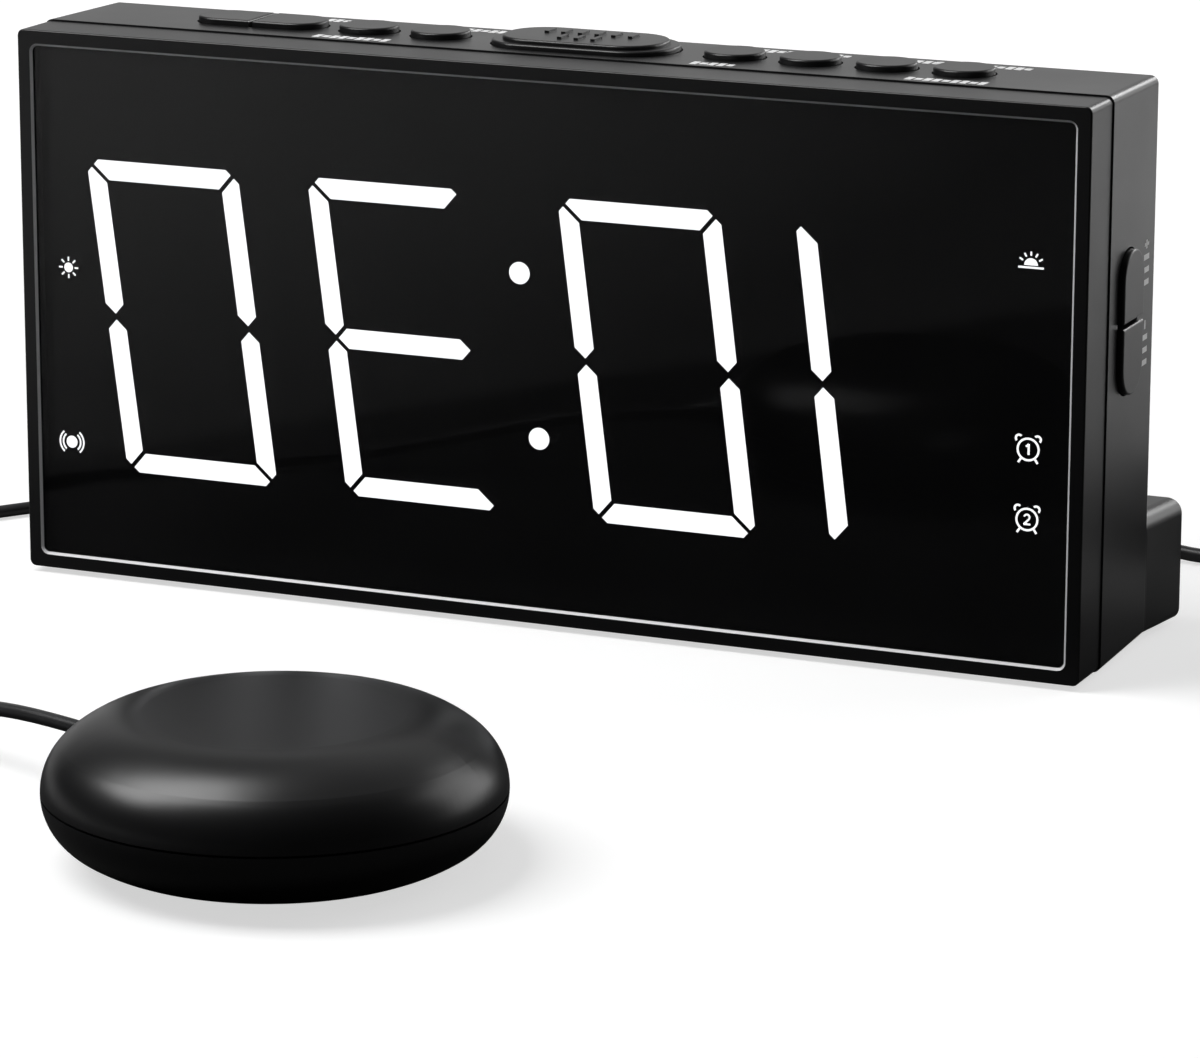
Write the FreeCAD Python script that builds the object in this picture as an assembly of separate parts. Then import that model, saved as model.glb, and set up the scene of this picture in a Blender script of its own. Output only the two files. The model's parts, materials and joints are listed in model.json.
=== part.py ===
import FreeCAD, Part
import math
import os

V = FreeCAD.Vector

# A bed shaker alarm clock: a wide digital clock that stands on a table, with a vibrating puck on a cord.
# Millimetres. X runs to the right, Y to the back and Z up. The origin lies on the table, in the middle of
# the footprint of clock and puck. The clock's own pieces are drawn from the foot of its front face.

# Clock housing, outside
CLOCK_WIDTH = 216.0
CLOCK_HEIGHT = 106.2
BODY_DEPTH = 39.0
SEAM_DEPTH = 11.2
BEZEL_STEP = 0.3
REAR_DRAFT = 0.4
CORNER_RADIUS = 1.6
REAR_EDGE_RADIUS = 1.2
FRONT_EDGE_RADIUS = 0.35
INNER_CORNER_RADIUS = 1.2
FOOT_DEPTH = 16.0
FOOT_HEIGHT = 23.5
FOOT_FLARE = 2.4
FOOT_ROOT = 3.0
FOOT_ROOT_INSET = 0.2
FOOT_RADIUS = 3.0
FOOT_REAR_RADIUS = 2.2

# Clock housing, walls and fits
RIM_WIDTH = 2.6
RIM_DEPTH = 0.8
RIM_BEVEL = 0.45
BEZEL_WALL = 1.3
SHELL_WALL = 2.2
TONGUE_LENGTH = 3.0
TONGUE_ROOT = 2.0
TONGUE_WALL = 0.9
FIT = 0.1
SEAM_GROOVE = 0.3
CATCH_LENGTH = 8.0
CATCH_HEIGHT = 0.35
CATCH_WIDTH = 1.0
CATCH_OFFSETS = (-70.0, 0.0, 70.0)
OVERRUN = 1.0

# Display
LENS_THICKNESS = 2.5
LENS_GAP = 0.1
MODULE_DEPTH = 7.0
MODULE_MARGIN = 3.2
BOARD_THICKNESS = 1.6
BOARD_INSET = 2.0
DISPLAY_X = -2.2
DIGIT_TOP_MARGIN = 25.0
DIGIT_BOTTOM_MARGIN = 20.4
DIGIT_END_MARGIN = 18.95
DIGIT_SPACE = 14.7
COLON_SPACE = 19.1
SEGMENT_WIDTH = 3.85
SEGMENT_GAP = 1.15
SEGMENT_DEPTH = 2.0
DIGIT_LEAN = 0.127
COLON_RADIUS = 2.1
COLON_RISE = 15.6
INDICATOR_SIZE = 6.4
INDICATOR_RADIUS = 1.0
INDICATOR_LEFT_INSET = 9.4
INDICATOR_RIGHT_INSET = 11.0
INDICATOR_LEFT_HEIGHTS = (59.4, 24.9)
INDICATOR_RIGHT_HEIGHTS = (76.6, 42.3, 29.3)
LIT_DIGITS = ("abcdef", "adefg", "abcdef", "ef")
ALL_SEGMENTS = "abcdefg"

# Screws that hold the display board to the display block
BOARD_SCREW_SIDE_INSET = 12.0
BOARD_SCREW_INSET = 9.0
SCREW_RADIUS = 1.3
SCREW_LENGTH = 6.0
SCREW_HEAD_RADIUS = 2.5
SCREW_HEAD_HEIGHT = 1.6
POST_SIDE_INSET = 32.0
POST_TOP_INSET = 20.0
POST_HEIGHT = 29.4
POST_RADIUS = 3.0

# Keys on the top, all on one line, and the volume pair on the right side
KEY_LINE = 24.6
KEY_PITCH = 15.0
KEY_RADIUS = 5.7
KEY_PROUD = 1.1
KEY_GAP = 0.3
KEY_EDGE_RADIUS = 0.45
KEY_TRAVEL = 0.8
ROUND_KEY_STEPS = (-3, -2, 2, 3, 4, 5)
PAIR_KEY_STEPS = (-5, -4)
PAIR_LENGTH = 26.4
PAIR_RADIUS = 5.5
PAIR_SPLIT = 0.8
SNOOZE_LENGTH = 36.7
SNOOZE_WIDTH = 19.0
SNOOZE_RADIUS = 9.0
SNOOZE_SIDE_STEP = 1.15
SNOOZE_END_STEP = 2.15
SNOOZE_STEP_HEIGHT = 0.9
SNOOZE_PROUD = 1.7
SNOOZE_RIBS = (6, 3)
SNOOZE_RIB_ROWS = (2.7, -3.1)
SNOOZE_RIB_LENGTH = 3.6
SNOOZE_RIB_WIDTH = 0.9
SNOOZE_RIB_HEIGHT = 0.4
SNOOZE_RIB_PITCH = 3.4
VOLUME_Y = 22.5
VOLUME_Z = 63.2
VOLUME_LENGTH = 26.8
VOLUME_RADIUS = 5.5
FLANGE_REACH = 0.9
FLANGE_THICKNESS = 1.0
FLANGE_GAP = 0.05
STEM_RADIUS = 2.0
STEM_GAP = 0.3
STEM_ENTRY = 1.2
SWITCH_SIZE = 8.0
SWITCH_HEIGHT = 4.0
SWITCH_FLOOR = 1.2
SWITCH_CLEAR = 0.55

# Boards behind the keys and what they rest on
KEY_BOARD_FRONT = 14.5
KEY_BOARD_HALF_WIDTH = 80.5
LEDGE_WIDTH = 2.4
LEDGE_HEIGHT = 6.0
LEDGE_OFFSETS = (-60.0, -15.0, 60.0)
LEDGE_FRONT = 17.0
SIDE_BOARD_HEIGHT = 31.6
SIDE_BOARD_WIDTH = 13.0
SIDE_RIB_THICKNESS = 2.0

# Speaker and its grille in the rear wall
SPEAKER_X = 45.0
SPEAKER_RADIUS = 18.0
SPEAKER_FLANGE = 2.0
SPEAKER_CONE_DEPTH = 7.0
SPEAKER_MAGNET_RADIUS = 10.0
SPEAKER_MAGNET_LENGTH = 6.5
SPEAKER_RING_WALL = 1.2
SPEAKER_RING_HEIGHT = 4.0
GRILLE_SLOTS = 7
GRILLE_PITCH = 4.0
GRILLE_SLOT_WIDTH = 1.7
GRILLE_RADIUS = 15.0

# Back-up cell, its pocket and its door in the rear wall
CELL_X = -46.0
CELL_RADIUS = 10.0
CELL_THICKNESS = 3.2
CELL_CLEARANCE = 0.4
CONTACT_THICKNESS = 0.4
CONTACT_WIDTH = 6.0
POCKET_WALL = 1.2
DOOR_LENGTH = 34.0
DOOR_HEIGHT = 25.0
DOOR_THICKNESS = 1.6
DOOR_RADIUS = 2.0
DOOR_GAP = 0.2
DOOR_SCREW_INSET = 4.2
DOOR_SCREW_RADIUS = 1.0
DOOR_SCREW_HEAD_RADIUS = 1.9
DOOR_SCREW_HEAD_HEIGHT = 1.0
DOOR_SCREW_LENGTH = 6.0
DOOR_BOSS_RADIUS = 2.4
DOOR_BOSS_LENGTH = 6.0
DOOR_SCREW_GAP = 0.2

# Sockets at the back of the foot
SOCKET_Z = 11.9
POWER_SOCKET_X = 72.0
SHAKER_SOCKET_X = -60.0
SOCKET_BODY_WIDTH = 10.0
SOCKET_BODY_DEPTH = 13.0
SOCKET_NOSE_RADIUS = 3.9
SOCKET_NOSE_INSET = 0.3
SOCKET_NOSE_GAP = 0.15
SOCKET_BORE_GAP = 0.15
SOCKET_BORE_DEPTH = 13.5
SOCKET_BOARD_DEPTH = 17.0
SOCKET_BOARD_HALF_WIDTH = 80.0
STANDOFF_RADIUS = 2.5
STANDOFF_OFFSETS = (-74.0, 0.0, 60.0)

# Rubber feet under the clock
PAD_LENGTH = 26.0
PAD_WIDTH = 6.0
PAD_PROUD = 0.6
PAD_SEAT = 0.9
PAD_INSET = 22.0
PAD_FRONT = 15.5
PAD_REAR = 48.5

# Puck
PUCK_X = 19.7
PUCK_AHEAD = 145.3
PUCK_RADIUS = 38.0
PUCK_HEIGHT = 24.5
PUCK_SEAM = 11.8
PUCK_TOP_FLAT = 21.6
PUCK_BASE_FLAT = 21.4
PUCK_SIDE_SHARE = 0.83
PUCK_WALL = 1.8
PUCK_GROOVE = 0.4
PUCK_LIP_HEIGHT = 1.6
PUCK_LIP_WALL = 0.9
PUCK_LIP_GAP = 0.25
PUCK_LIP_ROOT = 4.0
PUCK_SCREW_CIRCLE = 23.5
PUCK_SCREW_ANGLES = (75.0, 195.0, 315.0)
PUCK_SCREW_DEPTH = 2.4
PUCK_SCREW_GAP = 0.3
PUCK_BOSS_RADIUS = 3.0
PUCK_BOSS_GAP = 0.1

# Motor in the puck
MOTOR_RADIUS = 10.0
MOTOR_FLAT = 7.7
MOTOR_LENGTH = 25.0
MOTOR_BACK = -17.0
MOTOR_CAP_RADIUS = 5.0
MOTOR_CAP_LENGTH = 1.6
SHAFT_RADIUS = 1.0
SHAFT_RUNNING_GAP = 0.05
SHAFT_INSIDE = 12.0
SHAFT_END_GAP = 0.4
SHAFT_OUTSIDE = 11.0
WEIGHT_RADIUS = 8.5
WEIGHT_LENGTH = 8.0
WEIGHT_HUB_RADIUS = 3.0
WEIGHT_STAND_OFF = 2.4
WEIGHT_PRESS_GAP = 0.01
SADDLE_THICKNESS = 2.0
SADDLE_CHEEK = 2.0
SADDLE_PLACES = (-13.0, 3.0)
SADDLE_FREE = 2.0
STRAP_X = -5.0
STRAP_WIDTH = 8.0
STRAP_THICKNESS = 1.2
STRAP_SCREW_Y = 14.6
STRAP_BOSS_RADIUS = 2.6

# Cords, their plugs and strain reliefs
SHAKER_CORD = 2.6
POWER_CORD = 2.8
CORD_SIDES = 8
COIL_SIDES = 6
COIL_GAP = 0.5
COIL_CLIMB_OFFSET = 0.5
COIL_INNER_RADIUS = 10.6
COIL_LAYERS = 4
SHAKER_COIL_HALF_TURNS = 7
POWER_COIL_HALF_TURNS = 6
PLUG_RADIUS = 4.6
PLUG_LENGTH = 13.0
PLUG_RELIEF_LENGTH = 8.0
PLUG_RELIEF_WALL = 0.7
PLUG_GAP = 0.3
PLUG_RIBS = 4
PLUG_RIB_DEPTH = 0.35
POWER_PLUG_PIN = 2.75
SHAKER_PLUG_PIN = 1.75
PLUG_PIN_LENGTH = 12.0
GLAND_ANGLE = 159.5
GLAND_NECK_RADIUS = 3.0
GLAND_FLANGE_RADIUS = 3.9
GLAND_FLANGE_THICKNESS = 1.2
GLAND_BOOT_LENGTH = 6.0
GLAND_BOOT_WALL = 0.7
GLAND_SEAT_GAP = 0.1
USB_GRIP_LENGTH = 24.0
USB_GRIP_WIDTH = 15.6
USB_GRIP_HEIGHT = 7.8
USB_GRIP_RADIUS = 2.4
USB_BOOT_LENGTH = 7.0
USB_SHELL_LENGTH = 18.7
USB_SHELL_WIDTH = 12.0
USB_SHELL_HEIGHT = 4.5
USB_SHELL_WALL = 0.35
USB_WINDOW = 2.2
USB_WINDOW_STEP = 2.6
USB_WINDOW_FROM_TIP = 5.4
USB_TONGUE_HEIGHT = 1.9
USB_X = 140.0
USB_Y = 121.0
USB_CORD_HEIGHT = 3.9

# Worked out from the sizes above
HALF_WIDTH = CLOCK_WIDTH / 2
BEZEL_INSIDE = BEZEL_STEP + BEZEL_WALL
FOOT_REAR = BODY_DEPTH + FOOT_DEPTH
FRONT_Y = (PUCK_AHEAD + PUCK_RADIUS - FOOT_REAR) / 2
CLOCK_PLACE = V(0, FRONT_Y, PAD_PROUD)
PUCK_PLACE = V(PUCK_X, FRONT_Y - PUCK_AHEAD, 0)
LENS_BACK = RIM_DEPTH + LENS_THICKNESS
MODULE_FRONT = LENS_BACK + LENS_GAP
MODULE_BACK = MODULE_FRONT + MODULE_DEPTH
BOARD_BACK = MODULE_BACK + BOARD_THICKNESS
DIGIT_WIDTH = (CLOCK_WIDTH - 2 * DIGIT_END_MARGIN - 2 * DIGIT_SPACE - COLON_SPACE) / 4
DIGIT_HEIGHT = CLOCK_HEIGHT - DIGIT_TOP_MARGIN - DIGIT_BOTTOM_MARGIN
DISPLAY_Z = DIGIT_BOTTOM_MARGIN + DIGIT_HEIGHT / 2
REAR_INSIDE = BODY_DEPTH - SHELL_WALL
FOOT_INSIDE = FOOT_REAR - SHELL_WALL
SWITCH_TOP = SHELL_WALL + FLANGE_GAP + FLANGE_THICKNESS + KEY_TRAVEL + SWITCH_CLEAR
SWITCH_SEAT = SWITCH_TOP + SWITCH_HEIGHT
KEY_BOARD_TOP = CLOCK_HEIGHT - SWITCH_SEAT
KEY_BOARD_UNDER = KEY_BOARD_TOP - BOARD_THICKNESS
SPEAKER_Z = (FOOT_HEIGHT + KEY_BOARD_UNDER) / 2
CELL_Z = SPEAKER_Z
SIDE_BOARD_FACE = HALF_WIDTH - SWITCH_SEAT
SIDE_BOARD_INSIDE = SIDE_BOARD_FACE - BOARD_THICKNESS
SOCKET_BOARD_TOP = SOCKET_Z - SOCKET_BODY_WIDTH / 2
SOCKET_BOARD_UNDER = SOCKET_BOARD_TOP - BOARD_THICKNESS
CELL_FACE = BODY_DEPTH - DOOR_THICKNESS - DOOR_GAP
CELL_BACK = CELL_FACE - CELL_CLEARANCE - CELL_THICKNESS
POCKET_FLOOR = CELL_BACK - CONTACT_THICKNESS
POCKET_SIZE = 2 * (CELL_RADIUS + CELL_CLEARANCE)
SHAFT_Z = SADDLE_FREE + PUCK_WALL + MOTOR_FLAT
MOTOR_FRONT = MOTOR_BACK + MOTOR_LENGTH
PLUG_END = FOOT_REAR + PLUG_GAP + PLUG_LENGTH + PLUG_RELIEF_LENGTH

# Where the cords run, as points in the part's own frame, from the clock outwards
SHAKER_START = (SHAKER_SOCKET_X, FRONT_Y + PLUG_END, SOCKET_Z + PAD_PROUD)
POWER_START = (POWER_SOCKET_X, FRONT_Y + PLUG_END, SOCKET_Z + PAD_PROUD)
SHAKER_COIL_CENTRE = (-22.0, 187.0)
POWER_COIL_CENTRE = (128.0, 181.5)
SHAKER_NEAR_ROUTE = [(-60.0, 150.5, 11.8), (-56.2, 160.0, 7.8), (-47.0, 165.2, 3.2), (-36.0, 166.4, 1.4)]
SHAKER_FAR_ROUTE = [
    (-37.0, 208.8, 9.8), (-52.0, 205.5, 5.6), (-67.0, 196.5, 2.0), (-81.0, 179.0, 1.35),
    (-91.5, 157.0, 1.35), (-103.0, 136.5, 1.35), (-118.0, 117.3, 1.35), (-133.5, 98.8, 1.35),
    (-146.5, 75.0, 1.35), (-151.0, 47.0, 1.35), (-145.5, 19.0, 1.35), (-130.0, -6.0, 1.35),
    (-108.0, -24.0, 1.4), (-84.5, -36.5, 3.0), (-64.5, -47.0, 7.0), (-48.0, -54.5, 10.3), (-34.5, -60.4, 11.6)]
POWER_NEAR_ROUTE = [
    (72.0, 150.0, 12.0), (75.6, 158.6, 8.6), (84.5, 162.4, 4.0), (95.5, 161.8, 1.6), (106.0, 161.2, 1.5),
    (116.5, 161.0, 1.5)]
POWER_FAR_ROUTE = [(142.0, 162.6, 10.6), (152.0, 158.0, 7.4), (154.6, 147.0, 4.2), (148.8, 137.0, 2.6), (141.6, 130.6, 3.4)]


def box(x0, x1, y0, y1, z0, z1):
    """A plain block between two corners."""
    return Part.makeBox(x1 - x0, y1 - y0, z1 - z0, V(x0, y0, z0))


def moved(shape, x=0, y=0, z=0):
    """A copy of the shape, moved."""
    copy = shape.copy()
    copy.translate(V(x, y, z))
    return copy


def turned(shape, axis, degrees):
    """A copy of the shape, turned about an axis through zero."""
    copy = shape.copy()
    copy.rotate(V(0, 0, 0), axis, degrees)
    return copy


def fused(shapes):
    """One shape from many, with the lines between flush faces taken out."""
    first = shapes[0]
    return first.fuse(shapes[1:]).removeSplitter() if len(shapes) > 1 else first


def one_solid(shape):
    """The single solid that a fuse or a cut left."""
    assert len(shape.Solids) == 1, f"{len(shape.Solids)} solids where one was meant"
    return shape.Solids[0]


def rounded_outline(width, height, top_radius, bottom_radius=None):
    """A closed wire round a rectangle about zero in the XY plane, its corners rounded."""
    bottom_radius = top_radius if bottom_radius is None else bottom_radius
    corners = [(1, -1, bottom_radius), (1, 1, top_radius), (-1, 1, top_radius), (-1, -1, bottom_radius)]
    edges = []
    ends = []
    for sx, sy, radius in corners:
        cx = sx * (width / 2 - radius)
        cy = sy * (height / 2 - radius)
        start = math.atan2(sy, sx) - math.pi / 4
        points = [V(cx + radius * math.cos(start + k * math.pi / 4), cy + radius * math.sin(start + k * math.pi / 4), 0)
                  for k in range(3)]
        edges.append(Part.Arc(*points).toShape())
        ends.append((points[0], points[-1]))
    for (_, last), (first, _) in zip(ends, ends[1:] + ends[:1]):
        if last.distanceToPoint(first) > FIT / 10:
            edges.append(Part.LineSegment(last, first).toShape())
    return Part.Wire(Part.__sortEdges__(edges))


def slab(length, width, radius, thickness):
    """A rounded plate about zero, from the XY plane upwards."""
    return Part.Face(rounded_outline(length, width, radius)).extrude(V(0, 0, thickness))


def upright(shape):
    """Stands a flat shape up, so that its top looks to the back."""
    return turned(turned(shape, V(1, 0, 0), 90), V(0, 0, 1), 180)


def frontal_plate(width, height, radius, front, back, centre_z):
    """A rounded plate parallel to the clock's front face."""
    return moved(upright(slab(width, height, radius, back - front)), 0, front, centre_z)


def rod(radius, start, end):
    """A round bar between two points."""
    run = end - start
    return Part.makeCylinder(radius, run.Length, start, run)


def edges_at(shape, axis, value, within=FIT / 10):
    """The edges that lie whole in one plane across an axis."""
    found = []
    for edge in shape.Edges:
        limits = edge.BoundBox
        low, high = {"y": (limits.YMin, limits.YMax), "z": (limits.ZMin, limits.ZMax)}[axis]
        if abs(low - value) < within and abs(high - value) < within:
            found.append(edge)
    return found


def revolved(points, axis_point, axis):
    """A solid turned from a closed outline of straight lines."""
    face = Part.Face(Part.makePolygon(points + points[:1]))
    return face.revolve(axis_point, axis, 360)


# Clock housing

def housing_section(y, inset, radius):
    """The housing's outline at a depth, drawn in from the outline at the seam."""
    wire = rounded_outline(CLOCK_WIDTH - 2 * inset, CLOCK_HEIGHT - 2 * inset, radius)
    return moved(upright(wire), 0, y, CLOCK_HEIGHT / 2)


def catches(grow):
    """The small catches along the top and the bottom of the tongue, grown for their recesses."""
    half = CLOCK_HEIGHT / 2 - BEZEL_INSIDE - FIT
    middle = SEAM_DEPTH - TONGUE_LENGTH / 2
    shapes = []
    for x in CATCH_OFFSETS:
        for side in (-1, 1):
            face = CLOCK_HEIGHT / 2 + side * half
            tip = face + side * (CATCH_HEIGHT + grow)
            root = face - side * TONGUE_WALL / 2
            shapes.append(box(x - CATCH_LENGTH / 2 - grow, x + CATCH_LENGTH / 2 + grow,
                              middle - CATCH_WIDTH / 2 - grow, middle + CATCH_WIDTH / 2 + grow,
                              min(root, tip), max(root, tip)))
    return shapes


def front_bezel():
    """The frame round the lens: a skirt with a bevelled rim that the lens bears on from behind."""
    outer = housing_block(BEZEL_STEP, 0, SEAM_DEPTH)
    outer = outer.makeFillet(FRONT_EDGE_RADIUS, edges_at(outer, "y", 0))
    rim = BEZEL_STEP + RIM_WIDTH
    opening = housing_block(rim + RIM_BEVEL, -OVERRUN, RIM_DEPTH + OVERRUN)
    bevel = Part.makeLoft([housing_section(0, rim, INNER_CORNER_RADIUS + RIM_BEVEL),
                           housing_section(RIM_BEVEL, rim + RIM_BEVEL, INNER_CORNER_RADIUS)], True, True)
    pocket = housing_block(BEZEL_INSIDE, RIM_DEPTH, SEAM_DEPTH + OVERRUN)
    return one_solid(outer.cut([opening, bevel, pocket] + catches(FIT)))


def display_lens():
    """The dark window, which drops into the bezel from behind."""
    return housing_block(BEZEL_INSIDE + FIT, RIM_DEPTH, LENS_BACK)


def housing_block(inset, front, back):
    """A block with the housing's rounded outline between two depths, drawn in by an inset."""
    radius = max(CORNER_RADIUS - inset, INNER_CORNER_RADIUS)
    return frontal_plate(CLOCK_WIDTH - 2 * inset, CLOCK_HEIGHT - 2 * inset, radius, front, back, CLOCK_HEIGHT / 2)


def body_block():
    """The outside of the body, drawn in a little towards the rear and rounded there."""
    block = Part.makeLoft([housing_section(SEAM_DEPTH, 0, CORNER_RADIUS),
                           housing_section(BODY_DEPTH, REAR_DRAFT, CORNER_RADIUS)], True, True)
    return block.makeFillet(REAR_EDGE_RADIUS, edges_at(block, "y", BODY_DEPTH))


def foot_section(y, inset, flare):
    """The foot's outline at a depth: rounded more at the top than at the bottom."""
    width = CLOCK_WIDTH + 2 * (flare - REAR_DRAFT - inset)
    height = FOOT_HEIGHT - REAR_DRAFT - 2 * inset
    wire = rounded_outline(width, height, FOOT_RADIUS, CORNER_RADIUS)
    return moved(upright(wire), 0, y, (FOOT_HEIGHT + REAR_DRAFT) / 2)


def foot_block():
    """The foot behind the body, which widens to the back and is rounded there."""
    at_body = foot_section(BODY_DEPTH, 0, 0)
    root = Part.makeLoft([foot_section(BODY_DEPTH - FOOT_ROOT, FOOT_ROOT_INSET, 0), at_body], True, True)
    flared = Part.makeLoft([at_body, foot_section(FOOT_REAR, 0, FOOT_FLARE)], True, True)
    flared = flared.makeFillet(FOOT_REAR_RADIUS, edges_at(flared, "y", FOOT_REAR))
    return root.fuse(flared)


def foot_cavity():
    """The hollow of the foot, open to the hollow of the body."""
    return box(-(HALF_WIDTH - SHELL_WALL), HALF_WIDTH - SHELL_WALL, REAR_INSIDE - OVERRUN, FOOT_INSIDE,
               SHELL_WALL, FOOT_HEIGHT - SHELL_WALL)


def tongue():
    """The ring at the front of the shell that slips into the bezel."""
    front = SEAM_DEPTH - TONGUE_LENGTH
    back = SEAM_DEPTH + TONGUE_ROOT
    inset = BEZEL_INSIDE + FIT
    outer = housing_block(inset, front, back)
    inner = housing_block(inset + TONGUE_WALL, front - OVERRUN, back + OVERRUN)
    return outer.cut(inner)


def seam_groove():
    """A fine step round the shell's front edge, which shows as a dark line beside the bezel."""
    outer = housing_block(-OVERRUN, SEAM_DEPTH - OVERRUN, SEAM_DEPTH + SEAM_GROOVE)
    inner = housing_block(BEZEL_STEP + SEAM_GROOVE, SEAM_DEPTH - 2 * OVERRUN, SEAM_DEPTH + OVERRUN)
    return outer.cut(inner)


def key_openings():
    """The holes that the keys stand in, in the top and in the right side."""
    depth = SHELL_WALL + 2 * OVERRUN
    holes = []
    for step in ROUND_KEY_STEPS:
        holes.append(on_top(Part.makeCylinder(KEY_RADIUS + KEY_GAP, depth), step * KEY_PITCH, -SHELL_WALL - OVERRUN))
    pair = slab(PAIR_LENGTH + 2 * KEY_GAP, 2 * (KEY_RADIUS + KEY_GAP), PAIR_RADIUS + KEY_GAP, depth)
    holes.append(on_top(pair, pair_middle(), -SHELL_WALL - OVERRUN))
    snooze = slab(SNOOZE_LENGTH + 2 * KEY_GAP, SNOOZE_WIDTH + 2 * KEY_GAP, SNOOZE_RADIUS + KEY_GAP, depth)
    holes.append(on_top(snooze, 0, -SHELL_WALL - OVERRUN))
    volume = slab(VOLUME_LENGTH + 2 * KEY_GAP, 2 * (KEY_RADIUS + KEY_GAP), VOLUME_RADIUS + KEY_GAP, depth)
    holes.append(on_side(moved(volume, 0, 0, -SHELL_WALL - OVERRUN)))
    return holes


def grille_slots():
    """Slots of a length that follows a circle, through the rear wall behind the speaker."""
    slots = []
    for index in range(GRILLE_SLOTS):
        rise = (index - (GRILLE_SLOTS - 1) / 2) * GRILLE_PITCH
        length = 2 * math.sqrt(GRILLE_RADIUS ** 2 - rise ** 2)
        slot = slab(length, GRILLE_SLOT_WIDTH, GRILLE_SLOT_WIDTH / 2 - FIT / 10, SHELL_WALL + 2 * OVERRUN)
        slots.append(moved(upright(slot), SPEAKER_X, REAR_INSIDE - OVERRUN, SPEAKER_Z + rise))
    return slots


def cell_pocket_block():
    """The walls of the back-up cell's pocket and the boss for the door's screw, behind the rear wall."""
    half = POCKET_SIZE / 2 + POCKET_WALL
    walls = box(CELL_X - half, CELL_X + half, POCKET_FLOOR - POCKET_WALL, REAR_INSIDE + OVERRUN,
                CELL_Z - half, CELL_Z + half)
    x = door_screw_x()
    boss = rod(DOOR_BOSS_RADIUS, V(x, REAR_INSIDE - DOOR_BOSS_LENGTH, CELL_Z), V(x, REAR_INSIDE + OVERRUN, CELL_Z))
    return [walls, boss]


def cell_pocket_cut():
    """The pocket's hollow, the door's recess and the hole for the door's screw."""
    half = POCKET_SIZE / 2
    hollow = box(CELL_X - half, CELL_X + half, POCKET_FLOOR, BODY_DEPTH + OVERRUN, CELL_Z - half, CELL_Z + half)
    recess = slab(DOOR_LENGTH + 2 * DOOR_GAP, DOOR_HEIGHT + 2 * DOOR_GAP, DOOR_RADIUS + DOOR_GAP, DOOR_THICKNESS + OVERRUN)
    recess = moved(upright(recess), door_middle(), BODY_DEPTH - DOOR_THICKNESS, CELL_Z)
    x = door_screw_x()
    hole = rod(DOOR_SCREW_RADIUS + DOOR_SCREW_GAP, V(x, REAR_INSIDE - DOOR_BOSS_LENGTH + DOOR_SCREW_HEAD_HEIGHT, CELL_Z),
               V(x, BODY_DEPTH + OVERRUN, CELL_Z))
    return [hollow, recess, hole]


def door_middle():
    """The middle of the cell's door, which reaches past the pocket on the screw's side."""
    return CELL_X - POCKET_SIZE / 2 - POCKET_WALL + DOOR_LENGTH / 2


def door_screw_x():
    """Where the door's screw stands, near the door's right end."""
    return door_middle() + DOOR_LENGTH / 2 - DOOR_SCREW_INSET


def board_supports():
    """Posts, ledges, ribs and standoffs inside the shell that the boards and the speaker seat on."""
    shapes = []
    for x in (POST_SIDE_INSET - HALF_WIDTH, HALF_WIDTH - POST_SIDE_INSET):
        for z in (POST_HEIGHT, CLOCK_HEIGHT - POST_TOP_INSET):
            shapes.append(rod(POST_RADIUS, V(x, BOARD_BACK, z), V(x, REAR_INSIDE + OVERRUN, z)))
    for x in LEDGE_OFFSETS:
        shapes.append(box(x - LEDGE_WIDTH / 2, x + LEDGE_WIDTH / 2, LEDGE_FRONT, REAR_INSIDE + OVERRUN,
                          KEY_BOARD_UNDER - LEDGE_HEIGHT, KEY_BOARD_UNDER))
    for side in (-1, 1):
        end = VOLUME_Z + side * SIDE_BOARD_HEIGHT / 2
        far = end + side * SIDE_RIB_THICKNESS
        shapes.append(box(SIDE_BOARD_INSIDE, HALF_WIDTH - SHELL_WALL + OVERRUN, VOLUME_Y - SIDE_BOARD_WIDTH / 2,
                          VOLUME_Y + SIDE_BOARD_WIDTH / 2, min(end, far), max(end, far)))
    for x in STANDOFF_OFFSETS:
        y = FOOT_INSIDE - SOCKET_BOARD_DEPTH / 2
        shapes.append(rod(STANDOFF_RADIUS, V(x, y, SHELL_WALL - OVERRUN), V(x, y, SOCKET_BOARD_UNDER)))
    ring_front = REAR_INSIDE - SPEAKER_RING_HEIGHT
    ring_back = REAR_INSIDE + OVERRUN
    inner = SPEAKER_RADIUS + FIT
    ring = rod(inner + SPEAKER_RING_WALL, V(SPEAKER_X, ring_front, SPEAKER_Z), V(SPEAKER_X, ring_back, SPEAKER_Z))
    shapes.append(ring.cut(rod(inner, V(SPEAKER_X, ring_front, SPEAKER_Z), V(SPEAKER_X, REAR_INSIDE, SPEAKER_Z))))
    return shapes


def pads(grow=0):
    """The four oblong rubber feet, or with a fit added, the seats that they are glued into."""
    shapes = []
    for x in (PAD_INSET - HALF_WIDTH, HALF_WIDTH - PAD_INSET):
        for y in (PAD_FRONT, PAD_REAR):
            pad = slab(PAD_LENGTH + 2 * grow, PAD_WIDTH + 2 * grow, PAD_WIDTH / 2 + grow - FIT / 10, PAD_PROUD + PAD_SEAT)
            shapes.append(moved(pad, x, y, -PAD_PROUD))
    return shapes


def socket_holes():
    """The round holes in the foot's rear wall for the two sockets."""
    radius = SOCKET_NOSE_RADIUS + SOCKET_NOSE_GAP
    return [rod(radius, V(x, FOOT_INSIDE - OVERRUN, SOCKET_Z), V(x, FOOT_REAR + OVERRUN, SOCKET_Z))
            for x in (POWER_SOCKET_X, SHAKER_SOCKET_X)]


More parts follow.
